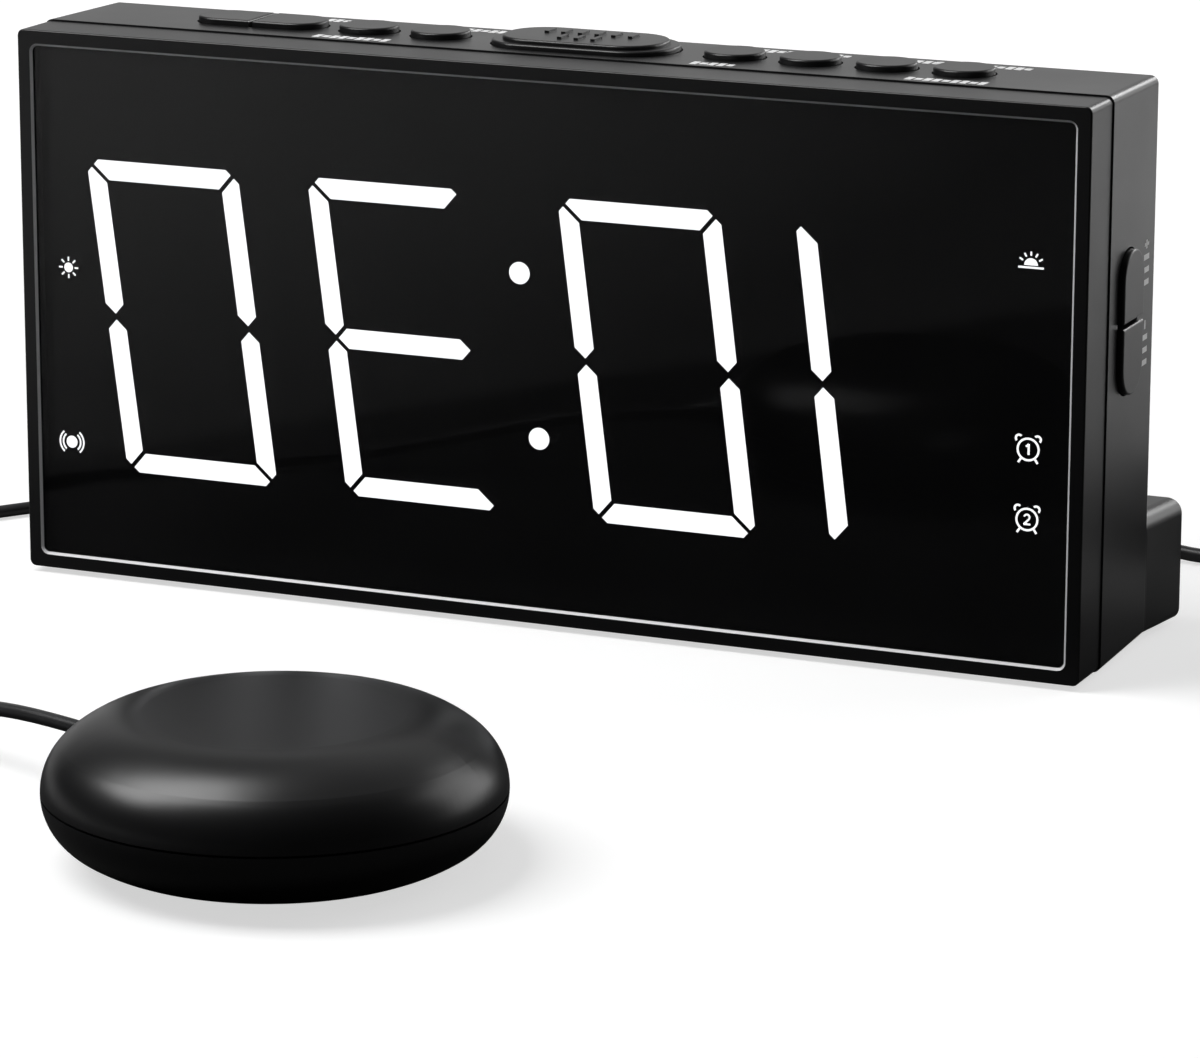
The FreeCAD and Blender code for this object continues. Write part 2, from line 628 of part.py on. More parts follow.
def rear_shell():
    """The housing behind the bezel with its foot, in one moulding, with all that is moulded inside it."""
    outer = body_block().fuse(foot_block())
    hollow = housing_block(SHELL_WALL, SEAM_DEPTH - OVERRUN, REAR_INSIDE)
    shell = outer.cut([hollow, foot_cavity(), seam_groove()])
    shell = shell.fuse([tongue()] + catches(0) + cell_pocket_block() + board_supports())
    shell = shell.cut(key_openings() + grille_slots() + cell_pocket_cut() + socket_holes() + pads(FIT))
    return one_solid(shell)


# Display

def digit_segments(letters, centre_x):
    """The bars of one digit, as upright plates that lean together, by their usual letters."""
    half_w = DIGIT_WIDTH / 2
    half_h = DIGIT_HEIGHT / 2
    width = SEGMENT_WIDTH
    gap = SEGMENT_GAP / 2
    nick = width / 4
    inner_w = half_w - width
    inner_h = half_h - width
    top = [(-half_w + nick + gap, half_h - nick), (-half_w + 2 * nick + gap, half_h), (half_w - 2 * nick - gap, half_h),
           (half_w - nick - gap, half_h - nick), (inner_w - gap, inner_h), (-inner_w + gap, inner_h)]
    middle = [(-half_w + width / 2 + gap, 0), (-inner_w + gap, width / 2), (inner_w - gap, width / 2),
              (half_w - width / 2 - gap, 0), (inner_w - gap, -width / 2), (-inner_w + gap, -width / 2)]
    side = [(-half_w + nick, half_h - nick - gap), (-half_w, half_h - 2 * nick - gap), (-half_w, width / 2 + gap),
            (-half_w + width / 2, gap), (-inner_w, width / 2 + gap), (-inner_w, inner_h - gap)]
    outlines = {"a": top, "d": [(x, -z) for x, z in top], "g": middle, "f": side, "b": [(-x, z) for x, z in side],
                "e": [(x, -z) for x, z in side], "c": [(-x, -z) for x, z in side]}
    bars = []
    for letter in letters:
        points = [V(centre_x + x - DIGIT_LEAN * z, MODULE_FRONT, DISPLAY_Z + z) for x, z in outlines[letter]]
        bars.append(Part.Face(Part.makePolygon(points + points[:1])).extrude(V(0, SEGMENT_DEPTH, 0)))
    return bars


def digit_middles():
    """The middles of the four digits, in pairs on the two sides of the colon."""
    near = (COLON_SPACE + DIGIT_WIDTH) / 2
    far = near + DIGIT_WIDTH + DIGIT_SPACE
    return [DISPLAY_X - far, DISPLAY_X - near, DISPLAY_X + near, DISPLAY_X + far]


def colon_dots():
    """The two round dots of the colon, which lean with the digits."""
    dots = []
    for side in (-1, 1):
        z = side * COLON_RISE
        start = V(DISPLAY_X - DIGIT_LEAN * z, MODULE_FRONT, DISPLAY_Z + z)
        dots.append(rod(COLON_RADIUS, start, start + V(0, SEGMENT_DEPTH, 0)))
    return dots


def lit_segments():
    """The bars and dots that are lit: the light guides in their windows."""
    bars = []
    for letters, middle in zip(LIT_DIGITS, digit_middles()):
        bars += digit_segments(letters, middle)
    return Part.makeCompound(bars + colon_dots())


def dark_segments():
    """The bars that are dark at this time of day."""
    bars = []
    for letters, middle in zip(LIT_DIGITS, digit_middles()):
        bars += digit_segments([letter for letter in ALL_SEGMENTS if letter not in letters], middle)
    return Part.makeCompound(bars)


def indicator_windows():
    """Small square light windows for the signs at the two ends of the display."""
    plates = []
    places = [(INDICATOR_LEFT_INSET - HALF_WIDTH, z) for z in INDICATOR_LEFT_HEIGHTS]
    places += [(HALF_WIDTH - INDICATOR_RIGHT_INSET, z) for z in INDICATOR_RIGHT_HEIGHTS]
    for x, z in places:
        plate = slab(INDICATOR_SIZE, INDICATOR_SIZE, INDICATOR_RADIUS, SEGMENT_DEPTH)
        plates.append(moved(upright(plate), x, MODULE_FRONT, z))
    return Part.makeCompound(plates)


def board_screw_places():
    """Where the board's screws stand, near its four corners."""
    x = HALF_WIDTH - BOARD_SCREW_SIDE_INSET
    return [(side * x, z) for side in (-1, 1) for z in (BOARD_SCREW_INSET, CLOCK_HEIGHT - BOARD_SCREW_INSET)]


def display_module():
    """The block behind the lens, with a pocket for every light guide and blind holes for its screws."""
    block = housing_block(MODULE_MARGIN, MODULE_FRONT, MODULE_BACK)
    pockets = lit_segments().Solids + dark_segments().Solids + indicator_windows().Solids
    deep = SCREW_LENGTH - BOARD_THICKNESS + FIT
    holes = [rod(SCREW_RADIUS + FIT, V(x, MODULE_BACK - deep, z), V(x, MODULE_BACK + OVERRUN, z))
             for x, z in board_screw_places()]
    return one_solid(block.cut(pockets + holes))


def main_board():
    """The circuit board behind the display block."""
    board = housing_block(MODULE_MARGIN + BOARD_INSET, MODULE_BACK, BOARD_BACK)
    holes = [rod(SCREW_RADIUS + FIT, V(x, MODULE_BACK - OVERRUN, z), V(x, BOARD_BACK + OVERRUN, z))
             for x, z in board_screw_places()]
    return one_solid(board.cut(holes))


def screw(head_radius, head_height, radius, length, tip_point, axis):
    """A pan-headed screw: its length is measured under the head, and it points along the axis."""
    points = [V(0, 0, 0), V(radius, 0, 0), V(radius, 0, length), V(head_radius, 0, length),
              V(head_radius, 0, length + head_height * 0.6), V(head_radius * 0.7, 0, length + head_height),
              V(0, 0, length + head_height)]
    solid = revolved(points, V(0, 0, 0), V(0, 0, 1))
    solid.Placement = FreeCAD.Placement(tip_point, FreeCAD.Rotation(V(0, 0, 1), axis))
    return solid


def board_screws():
    """Four screws through the board into the display block, heads to the back."""
    return Part.makeCompound([
        screw(SCREW_HEAD_RADIUS, SCREW_HEAD_HEIGHT, SCREW_RADIUS, SCREW_LENGTH, V(x, BOARD_BACK - SCREW_LENGTH, z), V(0, 1, 0))
        for x, z in board_screw_places()])


# Keys

def on_top(shape, x, z=0):
    """Sets a shape, drawn about zero with the wall's outer face at zero, on the clock's top."""
    return moved(shape, x, KEY_LINE, CLOCK_HEIGHT + z)


def on_side(shape):
    """Sets a shape on the clock's right side, its length upright."""
    return moved(turned(shape, V(0, 1, 0), 90), HALF_WIDTH, VOLUME_Y, VOLUME_Z)


def pair_middle():
    """The middle of the two-part key at the left of the row."""
    return sum(PAIR_KEY_STEPS) / len(PAIR_KEY_STEPS) * KEY_PITCH


def rounded_top(shape, top):
    """The shape with the edges of its top face rounded."""
    return shape.makeFillet(KEY_EDGE_RADIUS, edges_at(shape, "z", top))


def key_under(flange, stem_x=0):
    """What lies under a key's head: the flange that holds it in the wall, and the stem over its switch."""
    under = -SHELL_WALL - FLANGE_GAP
    plate = moved(flange, 0, 0, under - FLANGE_THICKNESS)
    stem = Part.makeCylinder(STEM_RADIUS, SWITCH_TOP + STEM_ENTRY + under, V(stem_x, 0, -SWITCH_TOP - STEM_ENTRY))
    return [plate, stem]


def round_key():
    """A round key, drawn about zero."""
    root = SHELL_WALL + FLANGE_GAP
    head = Part.makeCylinder(KEY_RADIUS, root + KEY_PROUD, V(0, 0, -root))
    flange = Part.makeCylinder(KEY_RADIUS + KEY_GAP + FLANGE_REACH, FLANGE_THICKNESS)
    return one_solid(fused([rounded_top(head, KEY_PROUD)] + key_under(flange)))


def half_key(length, radius, side):
    """One half of a two-part key, drawn about the pair's middle: side is 1 for the half at plus X."""
    root = SHELL_WALL + FLANGE_GAP
    width = 2 * KEY_RADIUS
    whole = moved(slab(length, width, radius, root + KEY_PROUD), 0, 0, -root)
    reach = KEY_GAP + FLANGE_REACH
    flange = slab(length + 2 * reach, width + 2 * reach, radius + reach, FLANGE_THICKNESS)
    keep = box(PAIR_SPLIT / 2, length, -width, width, -CLOCK_HEIGHT, CLOCK_HEIGHT)
    keep = keep if side > 0 else turned(keep, V(0, 0, 1), 180)
    head = rounded_top(whole.common(keep), KEY_PROUD)
    return one_solid(fused([head] + key_under(flange.common(keep), side * KEY_PITCH / 2)))


def snooze_key():
    """The large key: a broad step with a raised platform on it."""
    root = SHELL_WALL + FLANGE_GAP
    step = moved(slab(SNOOZE_LENGTH, SNOOZE_WIDTH, SNOOZE_RADIUS, root + SNOOZE_STEP_HEIGHT), 0, 0, -root)
    platform = slab(SNOOZE_LENGTH - 2 * SNOOZE_END_STEP, SNOOZE_WIDTH - 2 * SNOOZE_SIDE_STEP,
                    SNOOZE_RADIUS - SNOOZE_SIDE_STEP, SNOOZE_PROUD)
    reach = KEY_GAP + FLANGE_REACH
    flange = slab(SNOOZE_LENGTH + 2 * reach, SNOOZE_WIDTH + 2 * reach, SNOOZE_RADIUS + reach, FLANGE_THICKNESS)
    heads = [rounded_top(step, SNOOZE_STEP_HEIGHT), rounded_top(platform, SNOOZE_PROUD)]
    return one_solid(fused(heads + key_under(flange) + snooze_ribs()))


def snooze_ribs():
    """The two rows of raised ribs that a finger finds in the dark."""
    ribs = []
    for count, y in zip(SNOOZE_RIBS, SNOOZE_RIB_ROWS):
        for index in range(count):
            x = (index - (count - 1) / 2) * SNOOZE_RIB_PITCH
            ribs.append(box(x - SNOOZE_RIB_WIDTH / 2, x + SNOOZE_RIB_WIDTH / 2, y - SNOOZE_RIB_LENGTH / 2,
                            y + SNOOZE_RIB_LENGTH / 2, SNOOZE_STEP_HEIGHT, SNOOZE_PROUD + SNOOZE_RIB_HEIGHT))
    return ribs


def dome_switch():
    """A small switch, drawn like a key: a square body with a well that the key's stem dips into."""
    half = SWITCH_SIZE / 2
    body = box(-half, half, -half, half, -SWITCH_SEAT, -SWITCH_TOP)
    well = Part.makeCylinder(STEM_RADIUS + STEM_GAP, SWITCH_HEIGHT - SWITCH_FLOOR, V(0, 0, SWITCH_FLOOR - SWITCH_SEAT))
    return body.cut(well)


def key_switches():
    """One switch under every key."""
    steps = (0,) + ROUND_KEY_STEPS + PAIR_KEY_STEPS
    shapes = [on_top(dome_switch(), step * KEY_PITCH) for step in steps]
    for side in (-1, 1):
        shapes.append(on_side(moved(dome_switch(), side * KEY_PITCH / 2)))
    return Part.makeCompound([shape.Solids[0] for shape in shapes])


def key_board():
    """The circuit board under the top keys."""
    return box(-KEY_BOARD_HALF_WIDTH, KEY_BOARD_HALF_WIDTH, KEY_BOARD_FRONT, REAR_INSIDE - FIT, KEY_BOARD_UNDER, KEY_BOARD_TOP)


def side_board():
    """The small circuit board behind the volume keys, held between two ribs."""
    return box(SIDE_BOARD_INSIDE, SIDE_BOARD_FACE, VOLUME_Y - SIDE_BOARD_WIDTH / 2, VOLUME_Y + SIDE_BOARD_WIDTH / 2,
               VOLUME_Z - SIDE_BOARD_HEIGHT / 2, VOLUME_Z + SIDE_BOARD_HEIGHT / 2)


# Inside the housing

def speaker():
    """A small round speaker that faces the grille: flange, cone basket and magnet."""
    rim = REAR_INSIDE
    basket = rim - SPEAKER_FLANGE
    neck = rim - SPEAKER_CONE_DEPTH
    back = neck - SPEAKER_MAGNET_LENGTH
    cone_rim = SPEAKER_RADIUS - SPEAKER_FLANGE
    magnet = SPEAKER_MAGNET_RADIUS
    points = [V(0, back, 0), V(magnet, back, 0), V(magnet, neck, 0), V(cone_rim, basket, 0), V(SPEAKER_RADIUS, basket, 0),
              V(SPEAKER_RADIUS, rim, 0), V(cone_rim, rim, 0), V(magnet / 2, neck + SPEAKER_FLANGE, 0),
              V(0, neck + 2 * SPEAKER_FLANGE, 0)]
    return moved(revolved(points, V(0, 0, 0), V(0, 1, 0)), SPEAKER_X, 0, SPEAKER_Z)


def back_up_cell():
    """The coin cell that keeps the time when the power fails."""
    return rod(CELL_RADIUS, V(CELL_X, CELL_BACK, CELL_Z), V(CELL_X, CELL_BACK + CELL_THICKNESS, CELL_Z))


def cell_contacts():
    """Two flat springs: one under the cell, one up the pocket's wall beside it."""
    half = POCKET_SIZE / 2
    under = box(CELL_X - half + FIT, CELL_X + half - FIT, POCKET_FLOOR, CELL_BACK, CELL_Z - CONTACT_WIDTH / 2,
                CELL_Z + CONTACT_WIDTH / 2)
    top = CELL_Z + half
    beside = box(CELL_X - CONTACT_WIDTH / 2, CELL_X + CONTACT_WIDTH / 2, POCKET_FLOOR, CELL_FACE - CELL_CLEARANCE,
                 top - CELL_CLEARANCE + FIT, top)
    return Part.makeCompound([under, beside])


def cell_door():
    """The flush cover of the cell's pocket, with a counterbored hole for its screw."""
    plate = slab(DOOR_LENGTH, DOOR_HEIGHT, DOOR_RADIUS, DOOR_THICKNESS)
    plate = moved(upright(plate), door_middle(), BODY_DEPTH - DOOR_THICKNESS, CELL_Z)
    x = door_screw_x()
    seat = BODY_DEPTH - DOOR_SCREW_HEAD_HEIGHT
    hole = rod(DOOR_SCREW_RADIUS + FIT, V(x, BODY_DEPTH - DOOR_THICKNESS - OVERRUN, CELL_Z), V(x, BODY_DEPTH, CELL_Z))
    sink = rod(DOOR_SCREW_HEAD_RADIUS + FIT, V(x, seat, CELL_Z), V(x, BODY_DEPTH + OVERRUN, CELL_Z))
    return one_solid(plate.cut([hole, sink]))


def cell_door_screw():
    """The captive screw that locks the door."""
    tip = BODY_DEPTH - DOOR_SCREW_HEAD_HEIGHT - DOOR_SCREW_LENGTH
    return screw(DOOR_SCREW_HEAD_RADIUS, DOOR_SCREW_HEAD_HEIGHT, DOOR_SCREW_RADIUS, DOOR_SCREW_LENGTH,
                 V(door_screw_x(), tip, CELL_Z), V(0, 1, 0))


def socket(x, pin_radius):
    """A socket on the board in the foot: a square body with a round nose in the wall, and its bore."""
    half = SOCKET_BODY_WIDTH / 2
    body = box(x - half, x + half, FOOT_INSIDE - SOCKET_BODY_DEPTH, FOOT_INSIDE, SOCKET_Z - half, SOCKET_Z + half)
    nose = rod(SOCKET_NOSE_RADIUS, V(x, FOOT_INSIDE - OVERRUN, SOCKET_Z), V(x, FOOT_REAR - SOCKET_NOSE_INSET, SOCKET_Z))
    bore = rod(pin_radius + SOCKET_BORE_GAP, V(x, FOOT_REAR - SOCKET_BORE_DEPTH, SOCKET_Z), V(x, FOOT_REAR, SOCKET_Z))
    return one_solid(body.fuse(nose).cut(bore))


def socket_board():
    """The circuit board in the foot that carries the two sockets."""
    return box(-SOCKET_BOARD_HALF_WIDTH, SOCKET_BOARD_HALF_WIDTH, FOOT_INSIDE - SOCKET_BOARD_DEPTH, FOOT_INSIDE - FIT,
               SOCKET_BOARD_UNDER, SOCKET_BOARD_TOP)


# Puck

def puck_arcs(flat, height, side, wall):
    """Two arcs that meet smoothly, from the puck's widest line to its flat top or its flat base."""
    reach = PUCK_RADIUS - flat
    small = PUCK_SIDE_SHARE * height
    large = (reach ** 2 + height ** 2 - 2 * reach * small) / (2 * (height - small))
    joint = math.atan2(large - height, reach - small)
    arcs = []
    for x, rise, radius, start, end in ((PUCK_RADIUS - small, 0, small - wall, 0, joint),
                                        (flat, height - large, large - wall, joint, math.pi / 2)):
        arcs.append([V(x + radius * math.cos(angle), 0, PUCK_SEAM + side * (rise + radius * math.sin(angle)))
                     for angle in (start, (start + end) / 2, end)])
    return arcs


def puck_outline(wall, low, high):
    """The puck's solid form between two heights, drawn in by a wall."""
    arcs = puck_arcs(PUCK_TOP_FLAT, PUCK_HEIGHT - PUCK_SEAM, 1, wall) + puck_arcs(PUCK_BASE_FLAT, PUCK_SEAM, -1, wall)
    edges = [Part.Arc(*points).toShape() for points in arcs]
    corners = [arcs[1][-1], V(0, 0, PUCK_HEIGHT - wall), V(0, 0, wall), arcs[3][-1]]
    edges += [Part.LineSegment(start, end).toShape() for start, end in zip(corners, corners[1:])]
    face = Part.Face(Part.Wire(Part.__sortEdges__(edges)))
    whole = face.revolve(V(0, 0, 0), V(0, 0, 1), 360)
    return whole.common(Part.makeCylinder(2 * PUCK_RADIUS, high - low, V(0, 0, low)))


def puck_hollow():
    """The room inside the puck: cones between the meeting points of its inner arcs, and straight beside the lip."""
    upper = puck_arcs(PUCK_TOP_FLAT, PUCK_HEIGHT - PUCK_SEAM, 1, PUCK_WALL)
    lower = puck_arcs(PUCK_BASE_FLAT, PUCK_SEAM, -1, PUCK_WALL)
    lip_room = V(PUCK_RADIUS - PUCK_WALL, 0, PUCK_SEAM + PUCK_LIP_HEIGHT + PUCK_LIP_GAP)
    points = [V(0, 0, PUCK_WALL), lower[1][-1], lower[0][-1], lower[0][0], lip_room, upper[0][-1], upper[1][-1],
              V(0, 0, PUCK_HEIGHT - PUCK_WALL)]
    return revolved(points, V(0, 0, 0), V(0, 0, 1))


def on_circle(radius, degrees, z=0):
    """A point on a circle about the puck's axis."""
    angle = math.radians(degrees)
    return V(radius * math.cos(angle), radius * math.sin(angle), z)


def gland_bore():
    """The hole in the puck's side that the gland sits in, half in each shell."""
    reach = PUCK_RADIUS + OVERRUN
    return rod(GLAND_NECK_RADIUS + GLAND_SEAT_GAP, on_circle(PUCK_TOP_FLAT, GLAND_ANGLE, PUCK_SEAM),
               on_circle(reach, GLAND_ANGLE, PUCK_SEAM))


def puck_screw_places(z):
    """The three screws that close the puck."""
    return [on_circle(PUCK_SCREW_CIRCLE, angle, z) for angle in PUCK_SCREW_ANGLES]


def puck_top():
    """The puck's upper shell, with three screw bosses that reach down to the base's."""
    seat = PUCK_SEAM + PUCK_GROOVE / 2
    shell = puck_outline(0, seat, PUCK_HEIGHT)
    bosses = []
    holes = []
    foot = PUCK_SCREW_DEPTH + 2 * PUCK_WALL + PUCK_BOSS_GAP
    for place in puck_screw_places(foot):
        bosses.append(Part.makeCylinder(PUCK_BOSS_RADIUS, PUCK_HEIGHT - foot, place))
        holes.append(Part.makeCylinder(SCREW_RADIUS + FIT, PUCK_SEAM - foot, place))
    bosses = [boss.common(puck_outline(PUCK_WALL / 2, 0, PUCK_HEIGHT)) for boss in bosses]
    shell = fused([shell.cut(puck_hollow())] + bosses)
    return one_solid(shell.cut(holes + [gland_bore()]))


def saddles():
    """Two ribs on the puck's floor with a flat notch each, in which the motor lies."""
    shapes = []
    top = SHAFT_Z
    outer = MOTOR_RADIUS + FIT + SADDLE_CHEEK
    for x in SADDLE_PLACES:
        rib = box(x, x + SADDLE_THICKNESS, -outer, outer, PUCK_WALL / 2, top)
        notch = box(x - OVERRUN, x + SADDLE_THICKNESS + OVERRUN, -MOTOR_RADIUS - FIT, MOTOR_RADIUS + FIT,
                    SHAFT_Z - MOTOR_FLAT, top + OVERRUN)
        shapes.append(rib.cut(notch))
    return shapes


def strap_places(z):
    """The two screws beside the motor that hold its strap."""
    return [V(STRAP_X, side * STRAP_SCREW_Y, z) for side in (-1, 1)]


def puck_base():
    """The puck's lower shell, with its lip, the motor's saddles and the screw bosses."""
    seat = PUCK_SEAM - PUCK_GROOVE / 2
    shell = puck_outline(0, 0, seat)
    inside = PUCK_RADIUS - PUCK_WALL
    lip_outer = inside - PUCK_LIP_GAP
    lip_inner = lip_outer - PUCK_LIP_WALL
    lip_root = inside + PUCK_LIP_WALL / 2
    lip_foot = seat - PUCK_LIP_ROOT
    lip_top = seat + PUCK_LIP_HEIGHT
    lip = revolved([V(lip_inner, 0, lip_foot), V(lip_root, 0, lip_foot), V(lip_root, 0, seat), V(lip_outer, 0, seat),
                    V(lip_outer, 0, lip_top), V(lip_inner, 0, lip_top)], V(0, 0, 0), V(0, 0, 1))
    bosses = []
    holes = [gland_bore()]
    top = PUCK_SCREW_DEPTH + 2 * PUCK_WALL
    for place in puck_screw_places(0):
        bosses.append(Part.makeCylinder(PUCK_BOSS_RADIUS + PUCK_WALL / 2, top - PUCK_WALL / 2, place + V(0, 0, PUCK_WALL / 2)))
        holes.append(Part.makeCylinder(SCREW_RADIUS + PUCK_SCREW_GAP, 2 * top, place))
        holes.append(Part.makeCylinder(SCREW_HEAD_RADIUS + PUCK_SCREW_GAP, PUCK_SCREW_DEPTH, place))
    strap_seat = SHAFT_Z + MOTOR_FLAT
    for place in strap_places(0):
        bosses.append(Part.makeCylinder(STRAP_BOSS_RADIUS, strap_seat - PUCK_WALL / 2, place + V(0, 0, PUCK_WALL / 2)))
        holes.append(Part.makeCylinder(SCREW_RADIUS + FIT, SCREW_LENGTH, place + V(0, 0, strap_seat - SCREW_LENGTH)))
    room = puck_outline(PUCK_WALL / 2, 0, PUCK_HEIGHT)
    bosses = [boss.common(room) for boss in bosses]
    base = shell.cut(puck_hollow()).fuse([lip] + saddles() + bosses)
    return one_solid(base.cut(holes))


def puck_screws():
    """Three screws from below, their heads sunk in the base."""
    return Part.makeCompound([
        screw(SCREW_HEAD_RADIUS, SCREW_HEAD_HEIGHT, SCREW_RADIUS, SCREW_LENGTH, place + V(0, 0, PUCK_SCREW_DEPTH + SCREW_LENGTH),
              V(0, 0, -1)) for place in puck_screw_places(0)])


def motor():
    """The motor's can, flat above and below, with a bearing cap at each end and a bore for its shaft."""
    can = rod(MOTOR_RADIUS, V(MOTOR_BACK, 0, SHAFT_Z), V(MOTOR_FRONT, 0, SHAFT_Z))
    flat = box(MOTOR_BACK, MOTOR_FRONT, -MOTOR_RADIUS, MOTOR_RADIUS, SHAFT_Z - MOTOR_FLAT, SHAFT_Z + MOTOR_FLAT)
    caps = [rod(MOTOR_CAP_RADIUS, V(MOTOR_BACK - MOTOR_CAP_LENGTH, 0, SHAFT_Z), V(MOTOR_BACK + OVERRUN, 0, SHAFT_Z)),
            rod(MOTOR_CAP_RADIUS, V(MOTOR_FRONT - OVERRUN, 0, SHAFT_Z), V(MOTOR_FRONT + MOTOR_CAP_LENGTH, 0, SHAFT_Z))]
    bore = rod(SHAFT_RADIUS + SHAFT_RUNNING_GAP, V(MOTOR_FRONT - SHAFT_INSIDE, 0, SHAFT_Z),
               V(MOTOR_FRONT + MOTOR_CAP_LENGTH + OVERRUN, 0, SHAFT_Z))
    return one_solid(fused([can.common(flat)] + caps).cut(bore))


def motor_strap():
    """The plate over the motor, screwed down on a boss at each side."""
    seat = SHAFT_Z + MOTOR_FLAT
    length = 2 * (STRAP_SCREW_Y + STRAP_BOSS_RADIUS)
    plate = turned(slab(length, STRAP_WIDTH, STRAP_BOSS_RADIUS, STRAP_THICKNESS), V(0, 0, 1), 90)
    holes = [Part.makeCylinder(SCREW_RADIUS + FIT, STRAP_THICKNESS + OVERRUN, place) for place in strap_places(seat - FIT)]
    return one_solid(moved(plate, STRAP_X, 0, seat).cut(holes))


def strap_screws():
    """The strap's two screws."""
    seat = SHAFT_Z + MOTOR_FLAT + STRAP_THICKNESS
    length = SCREW_LENGTH - FIT
    return Part.makeCompound([screw(SCREW_HEAD_RADIUS, SCREW_HEAD_HEIGHT, SCREW_RADIUS, length, place, V(0, 0, 1))
                              for place in strap_places(seat - length)])


def motor_shaft():
    """The shaft that the weight is pressed on."""
    return rod(SHAFT_RADIUS, V(MOTOR_FRONT - SHAFT_INSIDE + SHAFT_END_GAP, 0, SHAFT_Z), V(MOTOR_FRONT + SHAFT_OUTSIDE, 0, SHAFT_Z))


def eccentric_weight():
    """The half disc whose turning shakes the puck, hanging down at rest."""
    start = V(MOTOR_FRONT + WEIGHT_STAND_OFF, 0, SHAFT_Z)
    end = start + V(WEIGHT_LENGTH, 0, 0)
    disc = rod(WEIGHT_RADIUS, start, end)
    lower = box(start.x, end.x, -WEIGHT_RADIUS, WEIGHT_RADIUS, SHAFT_Z - WEIGHT_RADIUS, SHAFT_Z)
    hub = rod(WEIGHT_HUB_RADIUS, start, end)
    bore = rod(SHAFT_RADIUS + WEIGHT_PRESS_GAP, start - V(OVERRUN, 0, 0), end + V(OVERRUN, 0, 0))
    return one_solid(disc.common(lower).fuse(hub).cut(bore))


def puck_gland():
    """The rubber gland in the puck's side: a neck in the wall, a flange outside it and a tapered boot."""
    neck_start = PUCK_RADIUS - 2 * PUCK_WALL
    seat = PUCK_RADIUS + FIT
    flange = seat + GLAND_FLANGE_THICKNESS
    tip = flange + GLAND_BOOT_LENGTH
    tip_radius = SHAKER_CORD / 2 + GLAND_BOOT_WALL
    points = [V(neck_start, 0, 0), V(neck_start, 0, GLAND_NECK_RADIUS), V(seat, 0, GLAND_NECK_RADIUS),
              V(seat, 0, GLAND_FLANGE_RADIUS), V(flange, 0, GLAND_FLANGE_RADIUS),
              V(flange, 0, GLAND_NECK_RADIUS), V(tip, 0, tip_radius), V(tip, 0, 0)]
    solid = revolved(points, V(0, 0, 0), V(1, 0, 0))
    return moved(turned(solid, V(0, 0, 1), GLAND_ANGLE), 0, 0, PUCK_SEAM)


def gland_tip():
    """The end of the gland's boot, where the cord comes out, in the part's own frame."""
    reach = PUCK_RADIUS + FIT + GLAND_FLANGE_THICKNESS + GLAND_BOOT_LENGTH
    return on_circle(reach, GLAND_ANGLE, PUCK_SEAM) + PUCK_PLACE


# Cords and plugs

def cord_plug(x, pin_radius, cord):
    """A moulded plug in its socket: pin, ribbed grip and a strain relief that tapers to the cord."""
    face = FOOT_REAR + PLUG_GAP
    grip_end = face + PLUG_LENGTH
    tip = face - PLUG_PIN_LENGTH - PLUG_GAP
    relief = grip_end + PLUG_RELIEF_LENGTH
    rib = PLUG_LENGTH / (2 * PLUG_RIBS + 1)
    points = [V(0, tip, 0), V(pin_radius, tip, 0), V(pin_radius, face, 0), V(PLUG_RADIUS, face, 0)]
    for index in range(PLUG_RIBS):
        start = face + (2 * index + 1) * rib
        points += [V(PLUG_RADIUS, start, 0), V(PLUG_RADIUS - PLUG_RIB_DEPTH, start, 0),
                   V(PLUG_RADIUS - PLUG_RIB_DEPTH, start + rib, 0), V(PLUG_RADIUS, start + rib, 0)]
    points += [V(PLUG_RADIUS, grip_end, 0), V(cord / 2 + 2 * PLUG_RELIEF_WALL, grip_end, 0),
               V(cord / 2 + PLUG_RELIEF_WALL, relief, 0), V(0, relief, 0)]
    return moved(revolved(points, V(0, 0, 0), V(0, 1, 0)), x, 0, SOCKET_Z)


def usb_plug():
    """The moulded grip of the supply plug, lying on the table, with a boot towards its cord."""
    grip = slab(USB_GRIP_WIDTH, USB_GRIP_HEIGHT, USB_GRIP_RADIUS, USB_GRIP_LENGTH)
    grip = moved(turned(grip, V(1, 0, 0), 90), USB_X, USB_Y - USB_BOOT_LENGTH, USB_GRIP_HEIGHT / 2)
    boot = Part.makeCone(POWER_CORD / 2 + PLUG_RELIEF_WALL, USB_GRIP_HEIGHT / 2 - PLUG_RELIEF_WALL, USB_BOOT_LENGTH + FIT,
                         V(USB_X, USB_Y, USB_CORD_HEIGHT), V(0, -1, 0))
    return one_solid(grip.fuse(boot))


def usb_tip():
    """Where the metal shell of the supply plug starts, at the end of the grip."""
    return USB_Y - USB_BOOT_LENGTH - USB_GRIP_LENGTH


def usb_plug_shell():
    """The open metal shell of the supply plug, with its two square windows above."""
    start = usb_tip()
    end = start - USB_SHELL_LENGTH
    low = USB_GRIP_HEIGHT / 2 - USB_SHELL_HEIGHT / 2
    half = USB_SHELL_WIDTH / 2
    wall = USB_SHELL_WALL
    shell = box(USB_X - half, USB_X + half, end, start, low, low + USB_SHELL_HEIGHT)
    hollow = box(USB_X - half + wall, USB_X + half - wall, end - OVERRUN, start - wall, low + wall, low + USB_SHELL_HEIGHT - wall)
    cuts = [hollow]
    for side in (-1, 1):
        x = USB_X + side * USB_WINDOW_STEP
        y = end + USB_WINDOW_FROM_TIP
        cuts.append(box(x - USB_WINDOW / 2, x + USB_WINDOW / 2, y, y + USB_WINDOW, low + USB_SHELL_HEIGHT / 2,
                        low + USB_SHELL_HEIGHT + OVERRUN))
    return one_solid(shell.cut(cuts))


